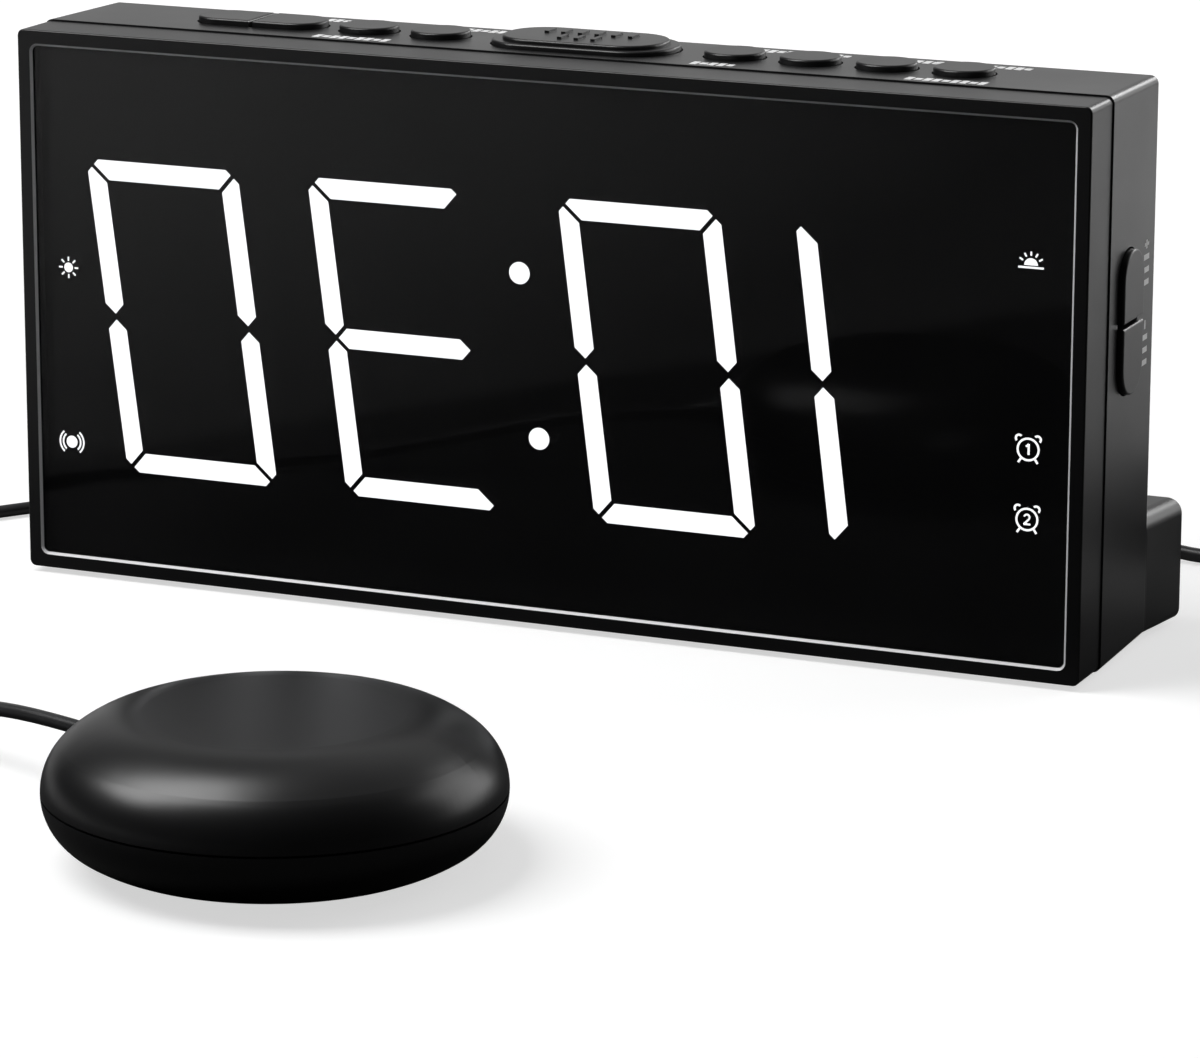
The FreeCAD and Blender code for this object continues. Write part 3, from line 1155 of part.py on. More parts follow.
def usb_plug_tongue():
    """The plastic tongue inside the supply plug's shell, which carries its contacts."""
    start = usb_tip() - USB_SHELL_WALL
    end = usb_tip() - USB_SHELL_LENGTH + USB_SHELL_WALL
    low = USB_GRIP_HEIGHT / 2 - USB_SHELL_HEIGHT / 2 + USB_SHELL_WALL
    half = USB_SHELL_WIDTH / 2 - USB_SHELL_WALL
    return box(USB_X - half, USB_X + half, end, start, low, low + USB_TONGUE_HEIGHT)


def cord_edges(points):
    """Straight runs joined by arcs, each arc as large as its two runs allow, with the radii."""
    points = [V(*point) for point in points]
    edges = []
    radii = []
    at = points[0]
    for before, corner, after in zip(points, points[1:], points[2:]):
        first = corner - before
        second = after - corner
        turn = first.getAngle(second)
        back = 0.45 * min(first.Length, second.Length)
        radii.append(back / math.tan(turn / 2))
        first.normalize()
        second.normalize()
        start = corner - first * back
        end = corner + second * back
        inward = second - first
        inward.normalize()
        sagitta = radii[-1] * (1 / math.cos(turn / 2) - 1)
        edges.append(Part.LineSegment(at, start).toShape())
        edges.append(Part.Arc(start, corner + inward * sagitta, end).toShape())
        at = end
    edges.append(Part.LineSegment(at, points[-1]).toShape())
    return edges, radii


def tube(edges, diameter, sides):
    """A many-sided tube along joined edges."""
    path = Part.Wire(edges)
    first = edges[0]
    start = first.valueAt(first.FirstParameter)
    ahead = first.tangentAt(first.FirstParameter)
    across = ahead.cross(V(0, 0, 1))
    across.normalize()
    up = across.cross(ahead)
    reach = diameter / 2
    corners = []
    for side in range(sides):
        angle = 2 * math.pi * (side + 0.5) / sides
        corners.append(start + across * reach * math.cos(angle) + up * reach * math.sin(angle))
    shell = Part.BRepOffsetAPI.MakePipeShell(path)
    shell.add(Part.makePolygon(corners + corners[:1]))
    shell.build()
    shell.makeSolid()
    return shell.shape()


def stretch(name, points, diameter):
    """A free stretch of cord, with its length, least radius and volume printed."""
    edges, radii = cord_edges(points)
    solid = tube(edges, diameter, CORD_SIDES)
    length = sum(edge.Length for edge in edges)
    section = CORD_SIDES / 2 * (diameter / 2) ** 2 * math.sin(2 * math.pi / CORD_SIDES)
    print(f"{name}: {length:.0f} mm, radii {' '.join(f'{radius:.0f}' for radius in radii)}, "
          f"volume {solid.Volume:.1f} of {section * length:.1f}")
    return solid


def coil_crossings(diameter, half_turns, left_off):
    """The radii at which a coil crosses its own middle line, layer by layer, in and out again."""
    pitch = diameter + COIL_GAP
    layers = []
    for layer in range(COIL_LAYERS):
        inwards = layer % 2 == 0
        steps = range(half_turns, -1, -1) if inwards else range(half_turns + 1)
        radii = [COIL_INNER_RADIUS + step * pitch / 2 for step in steps]
        if layer > 0:
            radii[0] += COIL_CLIMB_OFFSET if inwards else -COIL_CLIMB_OFFSET
        if layer + 1 < COIL_LAYERS:
            radii[-1] += -COIL_CLIMB_OFFSET if inwards else COIL_CLIMB_OFFSET
        layers.append(radii)
    layers[-1] = layers[-1][:half_turns + 1 - left_off]
    return layers


def coil_edges(centre, diameter, half_turns, left_off):
    """Half turns that spiral in and out again, with a climb of two arcs at every reversal."""
    rise = diameter + COIL_GAP
    z = diameter / 2
    side = -1
    edges = []
    layers = coil_crossings(diameter, half_turns, left_off)

    def at(distance, sideways, height):
        return V(centre[0] + sideways, centre[1] + distance, height)

    for number, radii in enumerate(layers):
        for near, far in zip(radii, radii[1:]):
            middle = side * (near - far) / 2
            reach = (near + far) / 2
            edges.append(Part.Arc(at(side * near, 0, z), at(middle, -side * reach, z), at(-side * far, 0, z)).toShape())
            side = -side
        if number + 1 < len(layers):
            radius = radii[-1]
            bulge = math.sqrt(radius ** 2 + rise ** 2 / 4)
            edges += climb(at, side, radius, bulge, z, rise)
            side = -side
            z += rise
    return edges, side


def climb(at, side, radius, bulge, z, rise):
    """A half turn of one radius that rises by one layer: two quarter turns that meet at its middle."""
    start = at(side * radius, 0, z)
    top = at(0, -side * bulge, z + rise / 2)
    end = at(-side * radius, 0, z + rise)
    return [quarter_turn(start, V(-side, 0, 0), top), quarter_turn(end, V(-side, 0, 0), top, True)]


def quarter_turn(start, ahead, end, reverse=False):
    """An arc from a point along a direction to another point, or the same arc run the other way."""
    chord = end - start
    normal = ahead.cross(chord)
    normal.normalize()
    inward = normal.cross(ahead)
    radius = chord.Length ** 2 / (2 * chord.dot(inward))
    centre = start + inward * radius
    middle = start + end
    middle.scale(0.5, 0.5, 0.5)
    out = middle - centre
    out.normalize()
    points = [start, centre + out * radius, end]
    return Part.Arc(*(points[::-1] if reverse else points)).toShape()


def least_self_gap(edges, diameter):
    """The least gap between turns, measured between points that lie far apart along the coil."""
    points = []
    along = 0.0
    for edge in edges:
        count = math.ceil(edge.Length / (diameter / 2))
        for index in range(count):
            run = index * edge.Length / count
            points.append((along + run, edge.valueAt(edge.getParameterByLength(run))))
        along += edge.Length
    least = diameter * 10
    for index, (here, first) in enumerate(points):
        for there, second in points[index + 1:]:
            if there - here > 3 * diameter:
                least = min(least, first.distanceToPoint(second))
    return least - diameter


def coil(name, centre, diameter, half_turns, left_off):
    """The put-away length of a cord as one unbroken tube, with straight ends one diameter long."""
    edges, side = coil_edges(centre, diameter, half_turns, left_off)
    first = edges[0].valueAt(edges[0].FirstParameter)
    last = edges[-1].valueAt(edges[-1].LastParameter)
    lead_in = Part.LineSegment(first - V(diameter, 0, 0), first).toShape()
    lead_out = Part.LineSegment(last, last - V(side * diameter, 0, 0)).toShape()
    whole = [lead_in] + edges + [lead_out]
    solid = tube(whole, diameter, COIL_SIDES)
    length = sum(edge.Length for edge in whole)
    turns = (len(edges) - COIL_LAYERS + 1) / 2
    print(f"{name}: {length:.0f} mm in {turns} turns, least gap to itself {least_self_gap(edges, diameter):.2f} mm")
    return solid, lead_in.valueAt(lead_in.FirstParameter), lead_out.valueAt(lead_out.LastParameter)


# All pieces

def build():
    """Every piece of the clock and the puck, by its node's name."""
    clock = {
        "front_bezel": front_bezel(),
        "display_lens": display_lens(),
        "display_module": display_module(),
        "lit_segments": lit_segments(),
        "dark_segments": dark_segments(),
        "indicator_windows": indicator_windows(),
        "main_board": main_board(),
        "board_screws": board_screws(),
        "rear_shell": rear_shell(),
        "rubber_feet": Part.makeCompound(pads()),
        "key_board": key_board(),
        "side_board": side_board(),
        "key_switches": key_switches(),
        "snooze_key": on_top(snooze_key(), 0),
        "pair_key_left": on_top(half_key(PAIR_LENGTH, PAIR_RADIUS, -1), pair_middle()),
        "pair_key_right": on_top(half_key(PAIR_LENGTH, PAIR_RADIUS, 1), pair_middle()),
        "volume_up_key": on_side(half_key(VOLUME_LENGTH, VOLUME_RADIUS, -1)),
        "volume_down_key": on_side(half_key(VOLUME_LENGTH, VOLUME_RADIUS, 1)),
        "speaker": speaker(),
        "back_up_cell": back_up_cell(),
        "cell_contacts": cell_contacts(),
        "cell_door": cell_door(),
        "cell_door_screw": cell_door_screw(),
        "socket_board": socket_board(),
        "power_socket": socket(POWER_SOCKET_X, POWER_PLUG_PIN),
        "shaker_socket": socket(SHAKER_SOCKET_X, SHAKER_PLUG_PIN),
        "power_plug": cord_plug(POWER_SOCKET_X, POWER_PLUG_PIN, POWER_CORD),
        "shaker_plug": cord_plug(SHAKER_SOCKET_X, SHAKER_PLUG_PIN, SHAKER_CORD),
    }
    for number, step in enumerate(ROUND_KEY_STEPS, 1):
        clock[f"round_key_{number}"] = on_top(round_key(), step * KEY_PITCH)
    puck = {
        "puck_top": puck_top(),
        "puck_base": puck_base(),
        "puck_screws": puck_screws(),
        "motor": motor(),
        "motor_strap": motor_strap(),
        "strap_screws": strap_screws(),
        "motor_shaft": motor_shaft(),
        "eccentric_weight": eccentric_weight(),
        "puck_gland": puck_gland(),
    }
    pieces = {name: moved(shape, *CLOCK_PLACE) for name, shape in clock.items()}
    pieces.update({name: moved(shape, *PUCK_PLACE) for name, shape in puck.items()})
    pieces.update(cords())
    return pieces


def cords():
    """The two cords with their coils, and the supply plug."""
    shaker_coil, shaker_in, shaker_out = coil("shaker coil", SHAKER_COIL_CENTRE, SHAKER_CORD, SHAKER_COIL_HALF_TURNS, 0)
    power_coil, power_in, power_out = coil("power coil", POWER_COIL_CENTRE, POWER_CORD, POWER_COIL_HALF_TURNS, 1)
    usb_end = (USB_X, USB_Y, USB_CORD_HEIGHT)
    return {
        "shaker_cord_near": stretch("shaker cord, near", [SHAKER_START] + SHAKER_NEAR_ROUTE + [shaker_in], SHAKER_CORD),
        "shaker_coil": shaker_coil,
        "shaker_cord_far": stretch("shaker cord, far", [shaker_out] + SHAKER_FAR_ROUTE + [gland_tip()], SHAKER_CORD),
        "power_cord_near": stretch("power cord, near", [POWER_START] + POWER_NEAR_ROUTE + [power_in], POWER_CORD),
        "power_coil": power_coil,
        "power_cord_far": stretch("power cord, far", [power_out] + POWER_FAR_ROUTE + [usb_end], POWER_CORD),
        "usb_plug": usb_plug(),
        "usb_plug_shell": usb_plug_shell(),
        "usb_plug_tongue": usb_plug_tongue(),
    }


os.makedirs("parts", exist_ok=True)
for node, shape in build().items():
    assert shape.isValid(), f"{node} is not a valid shape"
    shape.exportStep(f"parts/{node}.step")
    print(f"{node}: {len(shape.Solids)} solid(s)")
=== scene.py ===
import bpy
import json
import math
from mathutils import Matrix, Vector


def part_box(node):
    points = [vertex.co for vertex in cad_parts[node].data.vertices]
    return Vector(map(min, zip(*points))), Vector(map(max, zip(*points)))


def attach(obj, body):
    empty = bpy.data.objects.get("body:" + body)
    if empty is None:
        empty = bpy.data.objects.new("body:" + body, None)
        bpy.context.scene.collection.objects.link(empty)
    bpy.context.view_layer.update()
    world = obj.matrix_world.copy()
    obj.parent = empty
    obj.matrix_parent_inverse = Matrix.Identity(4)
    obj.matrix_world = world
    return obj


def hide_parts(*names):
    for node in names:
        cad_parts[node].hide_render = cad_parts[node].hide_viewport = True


# The looks of a bed shaker alarm clock and its puck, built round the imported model.
# Metres, in the part's own frame: +X right, +Y back, +Z up. MM turns millimetres into metres.
MM = 0.001
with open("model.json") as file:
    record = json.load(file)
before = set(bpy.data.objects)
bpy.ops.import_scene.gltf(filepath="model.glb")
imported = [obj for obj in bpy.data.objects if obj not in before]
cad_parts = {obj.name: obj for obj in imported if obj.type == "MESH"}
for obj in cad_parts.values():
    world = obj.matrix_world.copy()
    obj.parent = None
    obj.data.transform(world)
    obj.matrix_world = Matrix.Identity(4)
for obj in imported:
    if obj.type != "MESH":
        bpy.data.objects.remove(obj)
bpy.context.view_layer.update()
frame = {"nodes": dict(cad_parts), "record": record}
nodes = frame["nodes"]
ROOT = "clock_and_puck"
WHITE = (1, 1, 1, 1)

# Camera, fitted to the photo: place, turn in degrees, lens and sensor in millimetres
CAMERA_PLACE = (0.40441, -0.83330, 0.26843)
CAMERA_TURN = (75.794, -0.107, 23.553)
CAMERA_LENS = 163.04
CAMERA_SENSOR = 36.0
CAMERA_NEAR = 0.05
CAMERA_FAR = 20

# Cords: the same points as in the part's source
SHAKER_CORD = 2.6 * MM
POWER_CORD = 2.8 * MM
COIL_GAP = 0.5 * MM
COIL_CLIMB_OFFSET = 0.5 * MM
COIL_INNER_RADIUS = 10.6 * MM
COIL_LAYERS = 4
COIL_POINTS_PER_HALF_TURN = 8
SHAKER_COIL_CENTRE = (-0.0220, 0.1870)
POWER_COIL_CENTRE = (0.1280, 0.1815)
SHAKER_COIL_HALF_TURNS = 7
POWER_COIL_HALF_TURNS = 6
SHAKER_START = (-0.0600, 0.14045, 0.0125)
POWER_START = (0.0720, 0.14045, 0.0125)
SHAKER_NEAR_ROUTE = [
    (-0.0600, 0.1505, 0.0118), (-0.0562, 0.1600, 0.0078), (-0.0470, 0.1652, 0.0032),
    (-0.0360, 0.1664, 0.0014)]
SHAKER_FAR_ROUTE = [
    (-0.0370, 0.2088, 0.0098), (-0.0520, 0.2055, 0.0056), (-0.0670, 0.1965, 0.0020),
    (-0.0810, 0.1790, 0.00135), (-0.0915, 0.1570, 0.00135), (-0.1030, 0.1365, 0.00135),
    (-0.1180, 0.1173, 0.00135), (-0.1335, 0.0988, 0.00135), (-0.1465, 0.0750, 0.00135),
    (-0.1510, 0.0470, 0.00135), (-0.1455, 0.0190, 0.00135), (-0.1300, -0.0060, 0.00135),
    (-0.1080, -0.0240, 0.0014), (-0.0845, -0.0365, 0.0030), (-0.0645, -0.0470, 0.0070),
    (-0.0480, -0.0545, 0.0103), (-0.0345, -0.0604, 0.0116)]
GLAND_TIP = (-0.02273, -0.06529, 0.0118)
POWER_NEAR_ROUTE = [
    (0.0720, 0.1500, 0.0120), (0.0756, 0.1586, 0.0086), (0.0845, 0.1624, 0.0040), (0.0955, 0.1618, 0.0016),
    (0.1060, 0.1612, 0.0015), (0.1165, 0.1610, 0.0015)]
POWER_FAR_ROUTE = [
    (0.1420, 0.1626, 0.0106), (0.1520, 0.1580, 0.0074), (0.1546, 0.1470, 0.0042), (0.1488, 0.1370, 0.0026),
    (0.1416, 0.1306, 0.0034)]
USB_END = (0.1400, 0.1210, 0.0039)

# Housing: places come from the frame, and the draft and the seam's step are those of the part's source
BEZEL_LOW, BEZEL_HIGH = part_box("front_bezel")
HOUSING_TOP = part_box("rear_shell")[1].z
LENS_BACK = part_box("display_lens")[1].y
MODULE_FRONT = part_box("display_module")[0].y
FRONT_Y = BEZEL_LOW.y
SEAM_Y = BEZEL_HIGH.y
SEAM_STEP = 0.3 * MM
REAR_DRAFT = 0.4 * MM
REAR_DEPTH = 27.8 * MM
DRAFT_SLOPE = REAR_DRAFT / REAR_DEPTH
SIDE_X = BEZEL_HIGH.x + SEAM_STEP
MARK_DATUM = 1.0 * MM

# Bezel: where the painted highlight on its bevel starts, how the bevel faces and the highlight's pale colour
BEVEL_HIGHLIGHT_START = 2.47 * MM
BEVEL_FACING = -math.sqrt(0.5)
FACING_TOLERANCE = 0.2
BEVEL_HIGHLIGHT_COLOUR = (0.70, 0.70, 0.71, 1)

# Display
LENS_OPACITY = 0.5
DIGIT_GLOW = 4.6
SIGN_GLOW = 4.4

# Noise: the range that is spread over a material's own range, and how strongly its grain shows
NOISE_LOW = 0.3
NOISE_HIGH = 0.7
GRAIN_STRENGTH = 0.35

# Floor as the camera sees it: its colour, and a glow that grows with the distance from the middle
FLOOR_SIZE = 6
FLOOR_LEVEL = -0.2 * MM
FLOOR_SEEN = 0.45
FLOOR_GLOW = 0.62
FLOOR_FAR_GLOW = 0.98
GLOW_START = 0.35
GLOW_END = 1.1

# Floor as the object sees it: dim in front, lighter behind, to the left and beyond the puck's cord
FLOOR_DIM = 0.04
FLOOR_BACK = 0.85
BACK_START = 0.03
BACK_END = 0.50
FLOOR_STEP = 0.09
STEP_WAY = (-0.850, -0.526, 0.0)
STEP_START = 0.132
STEP_END = 0.142
FLOOR_LEFT = 0.5
LEFT_START = 0.08
LEFT_END = 0.40

# Room: its light, and what is mirrored of it from the front to the back
ROOM_LIGHT = 0.10
ROOM_FRONT = 0.02
ROOM_BACK = 0.60
ROOM_START = 0.45
ROOM_END = 0.85

# Lamps: name, place, target, width, height and power
LAMPS = (
    ("above", (0.15, 0.35, 1.3), (0, 0.05, 0), 1.2, 0.9, 0.8),
    ("upper_left", (-0.52, -0.24, 0.94), (0.02, -0.09, 0.02), 0.55, 0.85, 12.0),
    ("back", (0.275, 1.02, 0.41), (0.1, 0.08, 0.08), 0.3, 0.15, 1.1),
    ("right", (0.80, 0.90, 0.5), (0.1, 0.05, 0.05), 0.9, 0.9, 4.6),
)

# Signs, in millimetres and degrees: places from the clock's middle and MARK_DATUM, then the sizes of
# each sign, and which shares of the gap behind the lens they start at and fill
DISC_SIDES = 24
ARC_STEP = 15
SIGN_START_SHARE = 0.1
SIGN_DEPTH_SHARE = 0.3
SUN_PLACE = (-99.5, 59.2)
SHAKING_PLACE = (-99.6, 24.7)
HALF_SUN_PLACE = (95.8, 76.4)
ALARM_PLACES = ((96.0, 42.05), (96.05, 29.1))
SUN_RADIUS = 0.95
SUN_RAYS = 8
RAY_GAP = 0.35
RAY_LENGTH = 0.8
RAY_STROKE = 0.32
DOT_RADIUS = 1.2
WAVE_RADII = (1.9, 2.6)
WAVE_STROKE = 0.34
WAVE_HALF_ANGLE = 50
HALF_SUN_DROP = 0.7
HALF_SUN_RADIUS = 1.3
HALF_SUN_RAY = (1.75, 2.5)
HALF_SUN_RAYS = 5
HORIZON_DROP = 1.1
HORIZON_REACH = 2.4
HORIZON_STROKE = 0.36
RING_RADIUS = 2.0
RING_STROKE = 0.38
BELL_PLACE = (1.75, 1.95)
BELL_RADIUS = 0.62
BELL_STROKE = 0.4
BELL_TURN = 45
LEG_TOP = (1.35, -1.75)
LEG_END = (1.85, -2.5)
ONE_STROKES = (((0.1, -1.0), (0.1, 1.0), 0.4), ((-0.45, 0.5), (0.1, 0.95), 0.32))
TWO_RISE = 0.42
TWO_RADIUS = 0.5
TWO_STROKE = 0.34
TWO_ARC = (-30, 170)
TWO_STROKES = (((0.42, 0.1), (-0.5, -0.85), 0.34), ((-0.62, -0.88), (0.68, -0.88), 0.34))

# Labels, in millimetres: each has a middle and a count of blocks, or for the sides whether it is the plus
PRINT_DEPTH = 0.02 * MM
LABEL_PITCH = 1.75
LABEL_HEIGHT = 3.2
LABEL_STROKE = 1.35
REAR_LABELS = ((-75.0, 7), (-60.5, 8), (-28.6, 11), (30.2, 9), (45.0, 5), (60.0, 8), (75.2, 11))
FRONT_LABELS = ((-43.9, 9), (29.7, 5), (75.1, 9))
REAR_LABEL_Y = 34.2
FRONT_LABEL_Y = 14.6
SIDE_LABELS = ((71.6, True), (56.6, False))
SIDE_LABEL_Y = 33.3
SIDE_BLOCKS = 3
SIDE_PITCH = 2.35
SIDE_HEIGHT = 3.2
SIDE_STROKE = 1.05
SIGN_STROKE = 0.7
CROSS_HEIGHT_SHARE = 0.8
CROSS_STROKE_SHARE = 0.9


# Camera and cords

def make_camera():
    """The photo's camera."""
    camera = bpy.data.objects.new("camera", bpy.data.cameras.new("camera"))
    bpy.context.scene.collection.objects.link(camera)
    camera.location = CAMERA_PLACE
    camera.rotation_euler = [math.radians(angle) for angle in CAMERA_TURN]
    camera.data.lens = CAMERA_LENS
    camera.data.sensor_width = CAMERA_SENSOR
    camera.data.clip_start = CAMERA_NEAR
    camera.data.clip_end = CAMERA_FAR
    bpy.context.scene.camera = camera


def coil_points(centre, diameter, half_turns, left_off):
    """A coil's line as points: half turns that spiral in and out, with a climb at every reversal."""
    pitch = diameter + COIL_GAP
    count = COIL_POINTS_PER_HALF_TURN
    stretch = 1 / math.cos(math.pi / (2 * count))
    angle = -math.pi / 2
    z = diameter / 2
    points = []
    for layer in range(COIL_LAYERS):
        inwards = layer % 2 == 0
        steps = range(half_turns, -1, -1) if inwards else range(half_turns + 1)
        radii = [COIL_INNER_RADIUS + step * pitch / 2 for step in steps]
        offset = -COIL_CLIMB_OFFSET if inwards else COIL_CLIMB_OFFSET
        last = layer + 1 == COIL_LAYERS
        if layer > 0:
            radii[0] -= offset
        if not last:
            radii[-1] += offset
        radii = radii[:len(radii) - left_off] if last else radii
        legs = [(near, far, 0.0) for near, far in zip(radii, radii[1:])]
        legs += [] if last else [(radii[-1], radii[-1], pitch)]
        for near, far, climb in legs:
            for index in range(count):
                share = (index + 0.5) / count
                turn = angle + share * math.pi
                radius = (near + (far - near) * share) * stretch
                lift = climb * (1 - math.cos(share * math.pi)) / 2
                x = centre[0] + radius * math.cos(turn)
                y = centre[1] + radius * math.sin(turn)
                points.append((x, y, z + lift))
            angle += math.pi
            z += climb
    return points


def cord_curve(name, points, diameter, material):
    """A round cord along a smooth line, with the points as its control points."""
    curve = bpy.data.curves.new(name, "CURVE")
    curve.dimensions = "3D"
    curve.bevel_depth = diameter / 2
    curve.bevel_resolution = 3
    curve.use_fill_caps = True
    spline = curve.splines.new("NURBS")
    spline.points.add(len(points) - 1)
    for point, place in zip(spline.points, points):
        point.co = (*place, 1)
    spline.order_u = 3
    spline.use_endpoint_u = True
    spline.resolution_u = 4
    cord = bpy.data.objects.new(name, curve)
    bpy.context.scene.collection.objects.link(cord)
    curve.materials.append(material)
    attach(cord, ROOT)
    return cord


def make_cords(material):
    """The puck's cord and the supply cord, each one unbroken curve."""
    coil = coil_points(SHAKER_COIL_CENTRE, SHAKER_CORD, SHAKER_COIL_HALF_TURNS, 0)
    points = [SHAKER_START] + SHAKER_NEAR_ROUTE + coil + SHAKER_FAR_ROUTE + [GLAND_TIP]
    shaker = cord_curve("shaker_cord", points, SHAKER_CORD, material)
    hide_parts("shaker_cord_near", "shaker_coil", "shaker_cord_far")
    coil = coil_points(POWER_COIL_CENTRE, POWER_CORD, POWER_COIL_HALF_TURNS, 1)
    points = [POWER_START] + POWER_NEAR_ROUTE + coil + POWER_FAR_ROUTE + [USB_END]
    power = cord_curve("power_cord", points, POWER_CORD, material)
    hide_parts("power_cord_near", "power_coil", "power_cord_far")


# Steps of a node tree

def new_material(name):
    """An empty node material, with its nodes and links."""
    material = bpy.data.materials.new(name)
    material.use_nodes = True
    return material, material.node_tree.nodes, material.node_tree.links


def spread(tree_nodes, links, value, from_low, from_high, to_low, to_high):
    """A value carried from one range to another, and held at its ends."""
    carry = tree_nodes.new("ShaderNodeMapRange")
    carry.inputs["From Min"].default_value = from_low
    carry.inputs["From Max"].default_value = from_high
    carry.inputs["To Min"].default_value = to_low
    carry.inputs["To Max"].default_value = to_high
    links.new(value, carry.inputs["Value"])
    return carry.outputs["Result"]


def noise(tree_nodes, links, scale, detail=3.0):
    """Object-space noise, so that a pattern keeps its real size on every piece."""
    coordinates = tree_nodes.new("ShaderNodeTexCoord")
    texture = tree_nodes.new("ShaderNodeTexNoise")
    texture.inputs["Scale"].default_value = scale
    texture.inputs["Detail"].default_value = detail
    links.new(coordinates.outputs["Object"], texture.inputs["Vector"])
    return texture.outputs["Fac"]


def noise_range(tree_nodes, links, value, low, high):
    """A noise value spread over a material's own range."""
    return spread(tree_nodes, links, value, NOISE_LOW, NOISE_HIGH, low, high)


def blended_colour(tree_nodes, links, share, first, second):
    """A colour between two."""
    mix = tree_nodes.new("ShaderNodeMix")
    mix.data_type = "RGBA"
    mix.inputs["A"].default_value = first
    mix.inputs["B"].default_value = second
    links.new(share, mix.inputs["Factor"])
    return mix.outputs["Result"]


def less_than(tree_nodes, links, value, threshold):
    """One where a value lies under a threshold, and zero elsewhere."""
    test = tree_nodes.new("ShaderNodeMath")
    test.operation = "LESS_THAN"
    test.inputs[1].default_value = threshold
    links.new(value, test.inputs[0])
    return test.outputs["Value"]


def combined(tree_nodes, links, operation, first, second):
    """Two values put together by a sum, a product or the like."""
    joint = tree_nodes.new("ShaderNodeMath")
    joint.operation = operation
    links.new(first, joint.inputs[0])
    links.new(second, joint.inputs[1])
    return joint.outputs["Value"]


def distance_from(tree_nodes, links, value, middle):
    """How far a value lies from a middle."""
    away = tree_nodes.new("ShaderNodeMath")
    away.operation = "SUBTRACT"
    away.inputs[1].default_value = middle
    links.new(value, away.inputs[0])
    size = tree_nodes.new("ShaderNodeMath")
    size.operation = "ABSOLUTE"
    links.new(away.outputs["Value"], size.inputs[0])
    return size.outputs["Value"]


def axes(tree_nodes, links, vector):
    """The X, Y and Z of a vector."""
    split = tree_nodes.new("ShaderNodeSeparateXYZ")
    links.new(vector, split.inputs["Vector"])
    return split.outputs


# Materials

def surface(name, dark, light, rough, patch_scale, grain_scale, grain_depth, metal=0.0, specular=0.5):
    """A surface with cloudy colour and gloss and a fine grain: rough is a range."""
    material, tree_nodes, links = new_material(name)
    shader = tree_nodes["Principled BSDF"]
    patches = noise(tree_nodes, links, patch_scale)
    cloud = noise_range(tree_nodes, links, patches, 0.0, 1.0)
    links.new(blended_colour(tree_nodes, links, cloud, (*dark, 1), (*light, 1)), shader.inputs["Base Color"])
    links.new(noise_range(tree_nodes, links, patches, *rough), shader.inputs["Roughness"])
    grain = noise(tree_nodes, links, grain_scale, 2.0)
    bump = tree_nodes.new("ShaderNodeBump")
    bump.inputs["Strength"].default_value = GRAIN_STRENGTH
    bump.inputs["Distance"].default_value = grain_depth
    links.new(grain, bump.inputs["Height"])
    links.new(bump.outputs["Normal"], shader.inputs["Normal"])
    shader.inputs["Metallic"].default_value = metal
    shader.inputs["Specular IOR Level"].default_value = specular
    return material


def bezel_material():
    """The bezel: satin black, with a highlight painted pale on the inner half of the bevel round the window.
    """
    material = surface("bezel_plastic", (0.0035, 0.0035, 0.004), (0.0055, 0.0055, 0.006), (0.30, 0.36),
                       25, 2600, 0.003 * MM, specular=0.4)
    tree_nodes = material.node_tree.nodes
    links = material.node_tree.links
    shader = tree_nodes["Principled BSDF"]
    geometry = tree_nodes.new("ShaderNodeNewGeometry")
    place = axes(tree_nodes, links, geometry.outputs["Position"])
    facing = axes(tree_nodes, links, geometry.outputs["True Normal"])
    middle = (BEZEL_LOW + BEZEL_HIGH) / 2
    reach = (BEZEL_HIGH - BEZEL_LOW) / 2
    from_middle_x = distance_from(tree_nodes, links, place["X"], middle.x)
    from_middle_z = distance_from(tree_nodes, links, place["Z"], middle.z)
    from_facing = distance_from(tree_nodes, links, facing["Y"], BEVEL_FACING)
    across = less_than(tree_nodes, links, from_middle_x, reach.x - BEVEL_HIGHLIGHT_START)
    upwards = less_than(tree_nodes, links, from_middle_z, reach.z - BEVEL_HIGHLIGHT_START)
    slanted = less_than(tree_nodes, links, from_facing, FACING_TOLERANCE)
    inside = combined(tree_nodes, links, "MULTIPLY", across, upwards)
    painted_highlight_mask = combined(tree_nodes, links, "MULTIPLY", inside, slanted)
    # Painted highlight: the bevel's inner half, facing forward and inward, takes a pale colour in place of
    # the bright line that light draws there.
    plain = shader.inputs["Base Color"].links[0].from_socket
    mix = tree_nodes.new("ShaderNodeMix")
    mix.data_type = "RGBA"
    mix.inputs["B"].default_value = BEVEL_HIGHLIGHT_COLOUR
    links.new(painted_highlight_mask, mix.inputs["Factor"])
    links.new(plain, mix.inputs["A"])
    links.new(mix.outputs["Result"], shader.inputs["Base Color"])
    return material


def lens_material():
    """The dark window: it lets part of the light behind it through and mirrors a little."""
    material = surface("lens", (0.006, 0.006, 0.0065), (0.009, 0.009, 0.0095), (0.02, 0.05),
                       30, 400, 0.002 * MM)
    material.node_tree.nodes["Principled BSDF"].inputs["Alpha"].default_value = LENS_OPACITY
    return material


def glow_material(name, strength):
    """A lit light guide, with a faint cloud in its white."""
    material, tree_nodes, links = new_material(name)
    shader = tree_nodes["Principled BSDF"]
    cloud = noise(tree_nodes, links, 120)
    white = blended_colour(tree_nodes, links, cloud, (0.94, 0.96, 1.0, 1), (1.0, 1.0, 1.0, 1))
    links.new(white, shader.inputs["Emission Color"])
    links.new(white, shader.inputs["Base Color"])
    shader.inputs["Emission Strength"].default_value = strength
    shader.inputs["Roughness"].default_value = 0.5
    return material


